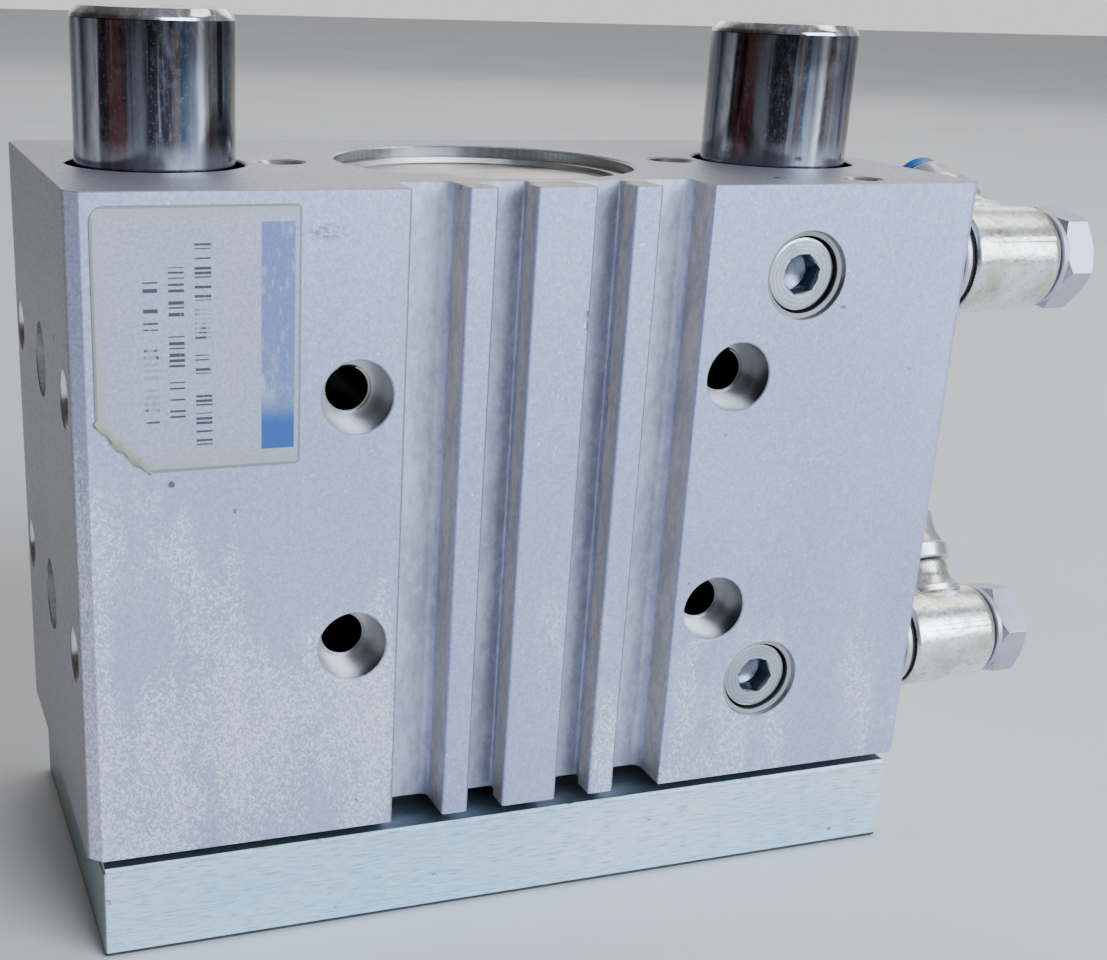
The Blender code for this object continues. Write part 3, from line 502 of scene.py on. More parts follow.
    # Dark nicks, fine scratches and a rubbed smudge.
    nicks = n.ramp(n.noise(n.scaled((1, 1, 1), (0.3, 0.1, 0.2)), 210, 2, 0.4), 0.235, 0.20)
    scratch = n.noise(n.scaled((2.2, 2.2, 0.10), (0, 0, 0), (0.1, 0.6, 0.2)), 240, 2, 0.5)
    scratches = n.times(n.ramp(scratch, 0.735, 0.765), n.ramp(clouds, 0.48, 0.60))
    smudge = n.ramp(n.distance((-37.0 * MM, FRONT, 114.4 * MM), (1, 1, 2.6)), 4.2 * MM, 1.0 * MM)
    smudge = n.times(smudge, n.ramp(n.noise(n.scaled((1, 1, 1.6)), 900, 3, 0.7), 0.44, 0.58))
    dark = n.most(n.times(nicks, 0.85), n.times(scratches, 0.45))
    dark = n.most(dark, n.times(smudge, 0.55))
    colour = n.mix(dark, colour, (0.07, 0.07, 0.08))
    worn = n.times(n.edges(0.35 * MM), n.ramp(n.grain(260, 4, 0.7), 0.40, 0.58))
    colour = n.paint(colour, worn, 0.7, (0.86, 0.87, 0.90))

    # Holes are bare machined metal, and the long through holes are painted black as shade.
    sunk = 0.2 * MM
    inside = n.times(n.between(x, -SIDE + sunk, SIDE - sunk), n.between(y, FRONT + sunk, BACK - sunk))
    inside = n.times(inside, n.between(z, BOTTOM + sunk, TOP - sunk))
    grooved = n.times(n.below(width, 24.9 * MM), n.below(y, FRONT + 8.3 * MM))
    inside = n.times(inside, n.minus(1.0, grooved))
    corner = n.plus(width, n.size(y))
    inside = n.times(inside, n.below(corner, SIDE + BACK - 2.3 * MM))
    tool = n.math("SINE", n.times(y, 2 * math.pi / (0.8 * MM)))
    bare = n.mix(n.ramp(tool, -1.0, 1.0, 0.0, 0.35), (0.50, 0.50, 0.51), (0.28, 0.28, 0.28))
    bare = n.mix(n.ramp(clouds, 0.36, 0.60), n.scale_colour(bare, 0.75), bare)
    # Painted highlight: bare metal within 3 mm of a side face is made up to 1.7 times lighter.
    bare = n.scale_colour(bare, n.ramp(width, SIDE - 3.6 * MM, SIDE - 3.0 * MM, 1.0, 1.7))
    colour = n.mix(inside, colour, bare)
    rough = n.minus(rough, n.times(inside, n.minus(rough, 0.27)))
    # Painted shade: the mount through holes and guide bores are near black.
    deep_hole_shade = n.times(n.between(width, 27 * MM, 37 * MM), n.between(y, FRONT + 5.9 * MM, BACK - 1.0 * MM))
    deep_hole_shade = n.times(deep_hole_shade, n.below(z, TOP - 18 * MM))
    guides = n.times(n.between(width, 40 * MM, 69.5 * MM), n.between(y, -14.4 * MM, 14.4 * MM))
    deep_hole_shade = n.times(inside, n.most(deep_hole_shade, n.times(guides, 0.9)))
    colour = n.mix(deep_hole_shade, colour, (0.012, 0.012, 0.013))
    # Painted shade: the underside is darkened to a quarter of its colour.
    under = n.below(z, BOTTOM + 0.03 * MM)
    colour = n.mix(under, colour, n.scale_colour(colour, 0.25))
    n.set("Base Color", colour)
    n.set("Metallic", n.ramp(inside, 0.0, 1.0, 0.72, 0.95))
    n.set("Roughness", rough)
    height = n.plus(n.times(grain, 0.5), n.times(speckle, 0.6))
    height = n.minus(height, n.times(nicks, 0.8))
    height = n.plus(height, n.times(worms, 0.4))
    height = n.times(height, n.ramp(inside, 0.0, 1.0, 1.0, 0.12))
    n.set("Normal", n.bump(height, 0.06 * MM, 0.7))
    return n.material


def ground(name):
    """Surface-ground steel, its grain along X, with patches whose blue-grey tint is a painted reflection,
    rust-brown nicks and dirty rims, and painted shade on its foot, left end and top.
    """
    n = Nodes(name)
    x, y, z = n.axes()
    fine = n.noise(n.scaled((0.07, 1, 1)), 4000, 3, 0.6)
    long = n.noise(n.scaled((0.04, 1, 1)), 1400, 4, 0.7)
    clouds = n.noise(n.scaled((0.35, 1, 1)), 42, 4, 0.6)
    # The grain and patches are the steel's own; their strong blue tint is a painted reflection of bluish
    # light.
    colour = n.mix(n.ramp(clouds, 0.3, 0.7), (0.50, 0.80, 1.0), (0.74, 0.95, 1.0))
    colour = n.paint(colour, n.ramp(long, 0.54, 0.68), 0.45, (0.28, 0.50, 0.90))
    colour = n.paint(colour, n.ramp(fine, 0.50, 0.62), 0.55, (0.94, 0.99, 1.0))
    colour = n.paint(colour, n.ramp(fine, 0.47, 0.36), 0.70, (0.24, 0.42, 0.78))
    pits = n.ramp(n.noise(n.scaled((0.55, 1, 1)), 520, 2, 0.5), 0.27, 0.22)
    rim = n.edges(0.9 * MM, 0.01, 0.18)
    bites = n.times(rim, n.ramp(n.noise(n.scaled((0.4, 1, 1)), 330, 4, 0.7), 0.42, 0.58))
    colour = n.paint(colour, pits, 0.65, (0.13, 0.08, 0.06))
    colour = n.paint(colour, bites, 0.85, (0.07, 0.06, 0.07))
    # Painted shade: the bottom 0.9 mm of the plate is near black.
    foot = n.times(n.below(z, plate_low.z + 0.9 * MM), 0.95)
    colour = n.mix(foot, colour, (0.02, 0.02, 0.02))
    # Painted shade: the left end is darker and browner.
    end = n.below(x, plate_low.x + 0.3 * MM)
    colour = n.paint(colour, end, 0.85, n.scale_colour(n.warm(colour), 0.28))
    # Painted shade: the top face under the housing is darkened to a sixth.
    roof_shade = n.above(z, plate_high.z - 0.05 * MM)
    colour = n.mix(roof_shade, colour, n.scale_colour(colour, 0.16))
    n.set("Base Color", colour)
    n.set("Metallic", 0.55)
    n.set("Roughness", n.ramp(long, 0.3, 0.8, 0.34, 0.50))
    n.set("Anisotropic", 0.4)
    height = n.plus(n.times(fine, 0.6), n.times(long, 0.6))
    height = n.minus(height, n.times(bites, 0.8))
    n.set("Normal", n.bump(height, 0.04 * MM, 0.7))
    return n.material


def chrome(name, centre_x=0.0, radius=12.5 * MM):
    """Old hard chrome with greasy smears and specks; its dark, bright and brown streaks round and along it
    are painted reflections.
    """
    n = Nodes(name)
    x, y, z = n.axes()
    away = n.minus(x, centre_x)
    angle = n.math("ARCTAN2", y, away)
    turn = n.plus(n.math("DIVIDE", angle, 2 * math.pi), 0.5)
    wave = n.noise(n.scaled((1, 1, 0.25)), 120, 4, 0.65)
    turn = n.plus(turn, n.times(n.minus(wave, 0.5), 0.028))
    if centre_x > 0:
        turn = n.plus(turn, 0.058)
    # Painted reflections: bands of black, dark blue, steel, bright, brown and red round each rod's axis
    # stand in for the room mirrored in the chrome.
    black = (0.035, 0.035, 0.045)
    night = (0.065, 0.085, 0.13)
    steel = (0.21, 0.22, 0.26)
    bright = (0.78, 0.80, 0.88)
    brown = (0.14, 0.11, 0.10)
    red = (0.17, 0.065, 0.07)
    bands = [(0.0, steel), (0.02, night), (0.035, steel), (0.05, bright), (0.065, night), (0.105, bright)]
    bands += [(0.115, black), (0.135, red), (0.165, red), (0.175, steel), (0.195, steel), (0.21, black)]
    bands += [(0.25, black), (0.262, brown), (0.275, night), (0.30, steel), (0.315, bright), (0.33, brown)]
    bands += [(0.37, steel), (0.385, night), (0.41, brown), (0.45, black), (0.50, steel), (0.56, night)]
    bands += [(0.60, bright), (0.66, black), (0.74, steel), (0.80, bright), (0.88, black), (0.96, steel)]
    colour = n.colours(turn, bands)
    rub = n.noise(n.scaled((1, 1, 0.03)), 1500, 3, 0.6)
    reflection_streak = n.noise(n.scaled((1, 1, 0.03)), 420, 4, 0.65)
    smear = n.noise(n.scaled((1, 1, 0.5)), 230, 5, 0.7, 0.6)
    # Painted reflection: long light and dark streaks along the rod.
    colour = n.mix(n.ramp(reflection_streak, 0.54, 0.64, 0.0, 0.50), colour, (0.40, 0.42, 0.48))
    colour = n.mix(n.ramp(reflection_streak, 0.46, 0.36, 0.0, 0.7), colour, black)
    specks = n.ramp(n.grain(2400, 2, 0.5), 0.66, 0.73)
    mottle = n.noise(n.scaled((1, 1, 0.6)), 900, 4, 0.7)
    colour = n.paint(colour, n.ramp(smear, 0.48, 0.64), 0.30, (0.20, 0.21, 0.25))
    colour = n.paint(colour, n.ramp(mottle, 0.52, 0.62), 0.18, (0.34, 0.35, 0.40))
    colour = n.paint(colour, specks, 0.4, (0.5, 0.52, 0.58))
    colour = n.scale_colour(colour, 0.72)
    # The chamfer and the end face are bright, and near the foot the housing's brightness is painted on as a
    # reflection.
    end = n.above(z, rod_high.z - 1.65 * MM)
    foot = n.times(n.ramp(z, TOP + 5.0 * MM, TOP), n.ramp(smear, 0.30, 0.62, 0.35, 0.8))
    colour = n.mix(foot, colour, (0.38, 0.38, 0.42))
    faced = n.mix(n.ramp(smear, 0.40, 0.62), (0.42, 0.43, 0.46), (0.86, 0.87, 0.90))
    colour = n.mix(end, colour, faced)
    rough = n.plus(n.ramp(smear, 0.40, 0.75, 0.07, 0.24), n.times(mottle, 0.05))
    n.set("Base Color", colour)
    n.set("Metallic", 1.0)
    n.set("Roughness", rough)
    height = n.plus(n.times(rub, 0.5), n.times(smear, 0.5))
    n.set("Normal", n.bump(height, 0.012 * MM, 0.35))
    return n.material


def turned_metal(
    name, tint, axis, pitch=0.25, rough=0.26, centre=(0, 0, 0), shine=0.0, marks=0.22, shade_depth=None
):
    """Turned metal: tool marks, pitch mm apart, about an axis through centre, and painted dark bluish shade
    deeper than shade_depth.
    """
    n = Nodes(name)
    if shine:
        tangent = n.tree.nodes.new("ShaderNodeTangent")
        tangent.direction_type = "RADIAL"
        tangent.axis = "XYZ"[axis]
        n.put(n.shader.inputs["Tangent"], tangent.outputs[0])
        n.set("Anisotropic", shine)
    offset = n.vector("SUBTRACT", n.place, centre)[0]
    flat = tuple(0.0 if i == axis else 1.0 for i in range(3))
    away = n.vector("LENGTH", n.vector("MULTIPLY", offset, flat)[0], (0, 0, 0))["Value"]
    split = n.tree.nodes.new("ShaderNodeSeparateXYZ")
    n.put(split.inputs[0], offset)
    along = n.plus(away, split.outputs[axis])
    wobble = n.grain(500, 3, 0.6)
    phase = n.plus(n.times(along, 2 * math.pi / (pitch * MM)), n.times(wobble, 9.0))
    rings = n.ramp(n.math("SINE", phase), -1.0, 1.0)
    clouds = n.grain(160, 4, 0.65)
    colour = n.mix(n.ramp(clouds, 0.3, 0.7), tuple(c * 0.78 for c in tint), tint)
    colour = n.paint(colour, rings, marks, tuple(c * 0.40 for c in tint))
    if shade_depth is not None:
        # Painted shade: deeper than shade_depth the colour turns dark bluish.
        hollow = n.ramp(split.outputs[axis], shade_depth - 0.2 * MM, shade_depth)
        colour = n.paint(colour, hollow, 0.75, (0.10, 0.13, 0.19))
    worn = n.times(n.edges(0.2 * MM), n.ramp(n.grain(700, 3, 0.6), 0.4, 0.6))
    colour = n.paint(colour, worn, 0.5, (0.9, 0.9, 0.92))
    n.set("Base Color", colour)
    n.set("Metallic", 1.0)
    n.set("Roughness", n.ramp(clouds, 0.3, 0.75, rough, rough + 0.16))
    n.set("Normal", n.bump(n.plus(rings, n.times(wobble, 0.5)), 0.02 * MM, 0.5))
    return n.material


def cast(name):
    """Nickel-plated zinc die-casting: bright, rippled, with dull grey-yellow staining."""
    n = Nodes(name)
    ripple = n.grain(700, 4, 0.62, 0.3)
    lumps = n.grain(190, 4, 0.6)
    stain = n.noise(n.scaled((1, 1, 1), (0.2, 0, 0.1)), 110, 5, 0.65)
    colour = n.mix(n.ramp(stain, 0.35, 0.62), (0.58, 0.56, 0.45), (0.84, 0.93, 1.0))
    colour = n.paint(colour, n.ramp(ripple, 0.45, 0.28), 0.65, (0.26, 0.27, 0.30))
    pits = n.ramp(n.grain(1300, 2, 0.5), 0.30, 0.24)
    colour = n.paint(colour, pits, 0.6, (0.14, 0.14, 0.14))
    n.set("Base Color", colour)
    n.set("Metallic", 0.95)
    n.set("Roughness", n.ramp(ripple, 0.3, 0.7, 0.34, 0.20))
    height = n.plus(n.times(ripple, 0.5), n.times(lumps, 0.9))
    n.set("Normal", n.bump(n.minus(height, n.times(pits, 0.4)), 0.16 * MM, 0.55))
    return n.material


def plated(name, tint=(0.66, 0.66, 0.70), rough=0.30):
    """Satin nickel plating: a fine orange peel, smudges and worn corners."""
    n = Nodes(name)
    peel = n.grain(2200, 2, 0.5)
    smudge = n.grain(180, 5, 0.65)
    colour = n.mix(n.ramp(smudge, 0.34, 0.7), tuple(c * 0.84 for c in tint), tint)
    worn = n.times(n.edges(0.25 * MM), n.ramp(n.grain(600, 3, 0.6), 0.35, 0.6))
    colour = n.paint(colour, worn, 0.65, (0.90, 0.91, 0.94))
    specks = n.ramp(n.grain(900, 2, 0.5), 0.27, 0.22)
    colour = n.paint(colour, specks, 0.5, (0.2, 0.2, 0.22))
    n.set("Base Color", colour)
    n.set("Metallic", 0.9)
    n.set("Roughness", n.ramp(smudge, 0.3, 0.75, rough, rough + 0.15))
    n.set("Normal", n.bump(n.plus(peel, n.times(smudge, 0.5)), 0.02 * MM, 0.4))
    return n.material


def moulded(name, tint, rough=0.4, metallic=0.0, grain=900, depth=0.03):
    """Moulded plastic, rubber, magnet or sintered bronze: fine grain with light and dark scuffs."""
    n = Nodes(name)
    fine = n.grain(grain, 3, 0.6)
    scuff = n.noise(n.scaled((1, 1, 0.4)), 210, 5, 0.7)
    dull, fresh = (tuple(min(1.0, c * factor) for c in tint) for factor in (0.8, 1.12))
    colour = n.mix(n.ramp(scuff, 0.35, 0.7), dull, fresh)
    light = tuple(min(1.0, c * 1.7 + 0.04) for c in tint)
    colour = n.paint(colour, n.ramp(fine, 0.60, 0.75), 0.25, light)
    n.set("Base Color", colour)
    n.set("Metallic", metallic)
    n.set("Roughness", n.ramp(scuff, 0.3, 0.75, rough, min(1.0, rough + 0.2)))
    n.set("Normal", n.bump(n.plus(fine, n.times(scuff, 0.4)), depth * MM, 0.5))
    return n.material


def label_film(name, low, high):
    """Worn sticker film: a faded blue bar and lines of illegible dashes, rubbed through, with dirty rims."""
    n = Nodes(name)
    x, y, z = n.axes()
    wide = high.x - low.x
    tall = high.z - low.z
    across = n.math("DIVIDE", n.minus(x, low.x), wide)
    down = n.math("DIVIDE", n.minus(high.z, z), tall)
    grain = n.grain(3200, 2, 0.5)
    clouds = n.grain(60, 4, 0.6)
    speckle = n.grain(1900, 4, 0.75)
    colour = n.mix(n.ramp(clouds, 0.3, 0.7), (0.405, 0.42, 0.53), (0.445, 0.46, 0.575))
    colour = n.scale_colour(colour, n.ramp(speckle, 0.34, 0.66, 0.86, 1.13))

    def band(value, start, end, soft=0.006):
        return n.times(n.ramp(value, start, start + soft), n.ramp(value, end + soft, end))

    yellow = n.most(n.ramp(across, 0.10, 0.0), n.ramp(down, 0.90, 1.0))
    yellow = n.most(yellow, n.ramp(down, 0.07, 0.0))
    colour = n.paint(colour, yellow, 0.60, (0.42, 0.42, 0.36))
    rim = n.times(band(across, 0.012, 0.985, 0.004), band(down, 0.008, 0.988, 0.003))
    colour = n.paint(colour, n.minus(1.0, rim), 0.65, (0.20, 0.19, 0.16))
    rubbed = n.noise(n.scaled((1, 1, 0.35)), 150, 5, 0.72)
    fine_rub = n.noise(n.scaled((1, 1, 0.25)), 1400, 4, 0.7)
    left_over = n.times(n.ramp(rubbed, 0.36, 0.52), n.ramp(fine_rub, 0.30, 0.46))
    # One plain bar, and short dashes of uneven length that say nothing.
    solid_end = n.ramp(down, 0.66, 0.84)
    blue = n.times(band(across, 0.80, 0.965), band(down, 0.06, 0.93))
    blue_kept = n.math("MAXIMUM", n.times(left_over, 0.65), solid_end, clamp=True)
    blue = n.times(blue, blue_kept)
    colour = n.paint(colour, blue, 0.92, (0.005, 0.095, 0.36))
    for start, end, first, last, count, seed in (
        (0.480, 0.560, 0.13, 0.90, 58, 1.3),
        (0.355, 0.430, 0.22, 0.83, 46, 4.7),
        (0.235, 0.305, 0.26, 0.81, 40, 8.1),
    ):
        cell = n.times(down, float(count))
        number = n.math("FLOOR", cell)
        part = n.math("FRACT", cell)
        white = n.tree.nodes.new("ShaderNodeTexWhiteNoise")
        white.noise_dimensions = "1D"
        n.put(white.inputs["W"], n.plus(number, seed))
        length = n.ramp(white.outputs[0], 0.0, 1.0, 0.10, 0.62)
        dash = n.below(part, length)
        dash = n.times(dash, n.above(white.outputs[0], 0.30))
        line = n.times(band(across, start, end, 0.004), band(down, first, last))
        ink = n.times(n.times(line, dash), n.ramp(left_over, 0.05, 0.5, 0.25, 1.0))
        colour = n.paint(colour, ink, 0.92, (0.04, 0.04, 0.055))
    dirt = n.ramp(n.grain(500, 4, 0.7), 0.66, 0.80)
    colour = n.paint(colour, dirt, 0.35, (0.30, 0.28, 0.22))
    n.set("Base Color", colour)
    n.set("Roughness", n.ramp(grain, 0.3, 0.7, 0.42, 0.56))
    n.set("Metallic", 0.5)
    n.set("Normal", n.bump(n.plus(grain, n.times(clouds, 2.0)), 0.02 * MM, 0.5))
    return n.material


def floor_paper(name):
    n = Nodes(name)
    fibre = n.grain(900, 3, 0.6)
    clouds = n.grain(6, 3, 0.5)
    n.set("Base Color", n.mix(n.ramp(clouds, 0.3, 0.7), (0.80, 0.80, 0.81), (0.84, 0.84, 0.85)))
    n.set("Roughness", 0.85)
    n.set("Normal", n.bump(fibre, 0.05 * MM, 0.2))
    return n.material


# ---------------------------------------------------------------- housing


def thread_profile(radius, depth, pitch=1.25 * MM, chamfer=0.5 * MM):
    """A tapped hole's cutter, with its thread as rings."""
    crest = radius - 0.5 * MM
    above = 1 * MM
    profile = [(0, above), (radius + chamfer + above, above), (radius, -chamfer)]
    height = -chamfer
    while height - pitch > -depth + 2 * MM:
        profile += [(crest, height - pitch / 2), (radius, height - pitch)]
        height -= pitch
    return profile + [(crest, height - pitch / 2), (crest, -depth), (0, -depth - 1.5 * MM)]


def stepped_profile(steps, bottom, rim=0.2 * MM):
    """A stepped hole's cutter: (radius, depth where it starts) from the face down, its rim broken."""
    above = 1 * MM
    first = steps[0][0]
    profile = [(0, above), (first + rim + above, above), (first, -rim)]
    for (radius, _), (narrower, depth) in zip(steps, steps[1:]):
        profile += [(radius, -depth), (narrower, -depth)]
    last = steps[-1][0]
    return profile + [(last, -bottom), (0, -bottom)]


def housing_corners():
    rib = 4.9 * MM
    lip = FRONT + 4.2 * MM
    floor = FRONT + 7.4 * MM
    undercut = 1.0 * MM
    groove = FRONT + 8.0 * MM
    edge = 0.45 * MM
    right = [
        (rib, FRONT, edge),
        (rib, lip, 0.2 * MM),
        (rib - undercut, lip, 0.25 * MM),
        (rib - undercut, floor, 0.4 * MM),
        (11.1 * MM + undercut, floor, 0.4 * MM),
        (11.1 * MM + undercut, lip, 0.25 * MM),
        (11.1 * MM, lip, 0.2 * MM),
        (11.1 * MM, FRONT, edge),
        (15.7 * MM, FRONT, edge),
        (15.7 * MM, groove, 1.4 * MM),
        (24.5 * MM, groove, 1.4 * MM),
        (24.5 * MM, FRONT, edge * 0.7),
        (SIDE - 2 * MM, FRONT, 0.4 * MM),
        (SIDE, FRONT + 2 * MM, 0.4 * MM),
        (SIDE, BACK - 2 * MM, 0.4 * MM),
        (SIDE - 2 * MM, BACK, 0.4 * MM),
    ]
    return right + [(-x, y, radius) for x, y, radius in reversed(right)]


def housing_cutters():
    cutters = []

    def hole(profile, matrix, steps=64):
        cutters.append(lathe("cutter", profile, steps, matrix))

    top = TOP - BOTTOM
    bore = 25.0 * MM
    groove = 26.3 * MM
    soft = 0.35 * MM
    reach = 1 * MM
    rings = [(0, top + reach), (bore + soft + reach, top + reach), (bore, top - soft)]
    for low in (113.0 * MM - BOTTOM, 20.5 * MM - BOTTOM):
        high = low + 1.6 * MM
        rings += [(bore, high), (groove, high), (groove, low), (bore, low)]
    rings += [(bore, soft), (bore + soft + reach, -reach), (0, -reach)]
    hole(rings, place(0, 0, BOTTOM), 144)
    guide = 14.0 * MM
    rings = [(0, top + reach), (guide + soft + reach, top + reach), (guide, top - soft)]
    rings += [(guide, soft), (guide + soft + reach, -reach), (0, -reach)]
    depth = BACK - FRONT
    mount = mm([(5.6, 0), (3.8, 5.5), (3.4, 5.9)])
    half = depth / 2 + 1 * MM
    port = mm([(0, 1), (8.2, 1), (7.2, 0), (6.9, -0.9), (6.2, -1), (6.2, -14), (0, -14)])
    for side in (-1, 1):
        hole(rings, place(side * GUIDE_X, 0, BOTTOM), 96)
        hole(thread_profile(3.9 * MM, 15 * MM), place(side * 35 * MM, 0, TOP), 48)
        outward = TO_RIGHT if side > 0 else TO_LEFT
        for z in (50 * MM, 90 * MM):
            hole(stepped_profile(mount, half), place(side * 32 * MM, FRONT, z, TO_FRONT), 72)
            # The tapped end opens into the through hole, so its drill tip is left off.
            back_hole = thread_profile(4.0 * MM, 15 * MM)[:-2]
            back_hole += [(3.4 * MM, -15 * MM), (3.4 * MM, -half), (0, -half)]
            hole(back_hole, place(side * 32 * MM, BACK, z, TO_BACK), 48)
            hole(stepped_profile([(6.0 * MM, 0)], 2.6 * MM), place(side * SIDE, 0, z, outward), 72)
            for y in (-26.5 * MM, 26.5 * MM):
                hole(thread_profile(4.0 * MM, 15 * MM), place(side * SIDE, y, z, outward), 48)
    hole(thread_profile(3.1 * MM, 9 * MM, 1.0 * MM, 0.3 * MM), place(55 * MM, -28 * MM, TOP), 40)
    nick = Matrix.Diagonal((0.75, 0.6, 1.5, 1))
    slopes = [math.radians(a) for a in range(20, 161, 20)]
    ball = [(0, MM)] + [(math.sin(a) * MM, math.cos(a) * MM) for a in slopes] + [(0, -MM)]
    hole(ball, place(4.4 * MM, FRONT, 100.2 * MM) @ nick, 20)
    for z in VALVES.values():
        hole(port, place(PORT_X, FRONT, z, TO_FRONT), 96)
        hole(port, place(SIDE, VALVE_Y, z, TO_RIGHT), 64)
    return cutters


def build_housing():
    outline = rounded_outline(housing_corners())
    housing = prism("housing_body", outline, BOTTOM, TOP, 0.14 * MM)
    combine(housing, housing_cutters())
    show(housing, anodised("anodised_aluminium"), "housing", ["housing"])


def build_rear_cap():
    low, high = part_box("rear_cap")
    outer = (high.x - low.x) / 2 / MM
    foot = low.z / MM
    top = high.z / MM
    profile = [(0, top - 1), (22, top - 1), (22.4, top - 0.8), (22.6, top)]
    profile += [(outer - 0.3, top), (outer, top - 0.3)]
    # The snap ring's groove and the o-ring's groove.
    for high_side, low_side, radius in ((114.6, 113.0, 22.8), (112.2, 110.0, 22.6)):
        profile += [(outer, high_side), (radius, high_side), (radius, low_side), (outer, low_side)]
    profile += [(outer, foot + 6.3), (19.5, foot + 6.3), (19.5, foot), (0, foot)]
    cap = lathe("rear_end_cap", mm(profile), 144)
    metal = turned_metal("turned_cap", (0.60, 0.585, 0.565), 2, 0.6, 0.32, (0, 0, 0), 0.75)
    show(cap, metal, "housing", ["rear_cap"])


def build_label():
    low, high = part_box("label")
    corners = [
        (low.x, high.z, 2.2 * MM),
        (low.x, low.z + 7.6 * MM, 0.4 * MM),
        (low.x + 7.4 * MM, low.z - 0.1 * MM, 0.3 * MM),
        (high.x, low.z, 0.8 * MM),
        (high.x, high.z, 0.8 * MM),
    ]
    film = prism("type_label_film", rounded_outline(corners, 6), 0, 0.16 * MM, 0.04 * MM)
    turn = Matrix(((1, 0, 0, 0), (0, 0, -1, 0), (0, 1, 0, 0), (0, 0, 0, 1)))
    film.data.transform(Matrix.Translation((0, FRONT - 0.02 * MM, 0)) @ turn)
    show(film, label_film("label_print", low, high), "housing", ["label"], weighted=False)
    # The torn corner has left its glue behind, folded up along the tear.
    start = Vector((low.x - 0.1 * MM, 0, low.z + 7.8 * MM))
    end = Vector((low.x + 7.8 * MM, 0, low.z - 0.2 * MM))
    along = end - start
    across = Vector((along.z, 0, -along.x)).normalized()
    bm = bmesh.new()
    rows = []
    count = 26
    for k in range(count + 1):
        share = k / count
        wave = math.sin(share * 19.0) * 0.16 + math.sin(share * 43.0) * 0.09
        half = (0.30 + 0.45 * math.sin(share * math.pi) + wave) * MM
        middle = start + along * share
        lift = (0.22 + 0.10 * math.sin(share * 23.0 + 1.0)) * MM
        row = []
        section = ((-half, 0.0), (-0.3 * half, lift), (0.4 * half, lift * 1.5), (half, 0.03 * MM))
        for offset, height in section:
            point = middle + across * offset
            row.append(bm.verts.new((point.x, FRONT - 0.14 * MM - height, point.z)))
        rows.append(row)
    for one, two in zip(rows, rows[1:]):
        for a in range(3):
            bm.faces.new((one[a], one[a + 1], two[a + 1], two[a]))
    fold = new_object("label_torn_fold", bm)
    solid = fold.modifiers.new("Solid", "SOLIDIFY")
    solid.thickness = 0.10 * MM
    apply_modifiers(fold)
    glue = moulded("dried_glue", (0.34, 0.32, 0.24), 0.55, 0.0, 1400, 0.06)
    show(fold, glue, "housing", weighted=False, sharp=60)


def build_plugs():
    for which, z in VALVES.items():
        low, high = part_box(which + "_blanking_plug")
        face = (high.y - low.y) / MM
        head = (high.x - low.x) / 2 / MM
        middle = (low.x + high.x) / 2
        profile = [(0, 0), (head - 0.55, 0), (head - 0.15, -0.15), (head, -0.5), (head, -1.6)]
        profile += [(head - 0.45, -2.0), (head - 0.45, -face), (0, -face)]
        matrix = place(middle, low.y, z, TO_FRONT)
        plug = lathe(which + "_hex_socket_plug", mm(profile), 80, matrix)
        turn = math.radians(12 if which == "upper" else -8)
        socket = prism("socket", hexagon(6.0 * MM, turn, 0.12 * MM), -3.6 * MM, 1 * MM, 0, matrix)
        drilled = mm([(0, 1), (4.1, 1), (2.9, -0.35), (2.9, -3.7), (0, -5.2)])
        drill = lathe("drill", drilled, 48, matrix)
        combine(plug, [socket, drill])
        centre = (middle, low.y, z)
        tint = (0.60, 0.64, 0.70)
        metal = turned_metal(which + "_plug_metal", tint, 1, 0.7, 0.22, centre, 0, 0.38, 0.9 * MM)
        show(plug, metal, "housing", [which + "_blanking_plug"])


# ---------------------------------------------------------------- carriage


def build_yoke_plate():
    xs = (plate_high.x, plate_high.x, plate_low.x, plate_low.x)
    ys = (plate_low.y, plate_high.y, plate_high.y, plate_low.y)
    outline = rounded_outline([(x, y, 0.5 * MM) for x, y in zip(xs, ys)], 4)
    plate = prism("yoke_plate_body", outline, plate_low.z, plate_high.z, 0.55 * MM)
    cutters = []
    for side in (-1, 1):
        head = stepped_profile([(8.6 * MM, 0), (5.2 * MM, 8.8 * MM)], 20 * MM, 0.4 * MM)
        cutters.append(lathe("cutter", head, 64, place(side * GUIDE_X, 0, 0, DOWNWARD)))
        seat = stepped_profile([(GUIDE_RADIUS + 0.3 * MM, 0)], 1.0 * MM)
        cutters.append(lathe("cutter", seat, 96, place(side * GUIDE_X, 0, plate_high.z)))
        centring = stepped_profile([(6.0 * MM, 0)], 2.6 * MM)
        cutters.append(lathe("cutter", centring, 64, place(side * 32 * MM, 0, 0, DOWNWARD)))
        for y in (-20 * MM, 20 * MM):
            tapped = thread_profile(4.0 * MM, 11 * MM)
            cutters.append(lathe("cutter", tapped, 40, place(side * 32 * MM, y, 0, DOWNWARD)))
    spigot = stepped_profile([(6.3 * MM, 0)], 11 * MM)
    cutters.append(lathe("cutter", spigot, 48, place(0, 0, plate_high.z)))
    combine(plate, cutters)
    show(plate, ground("ground_steel"), "carriage", ["yoke_plate"])


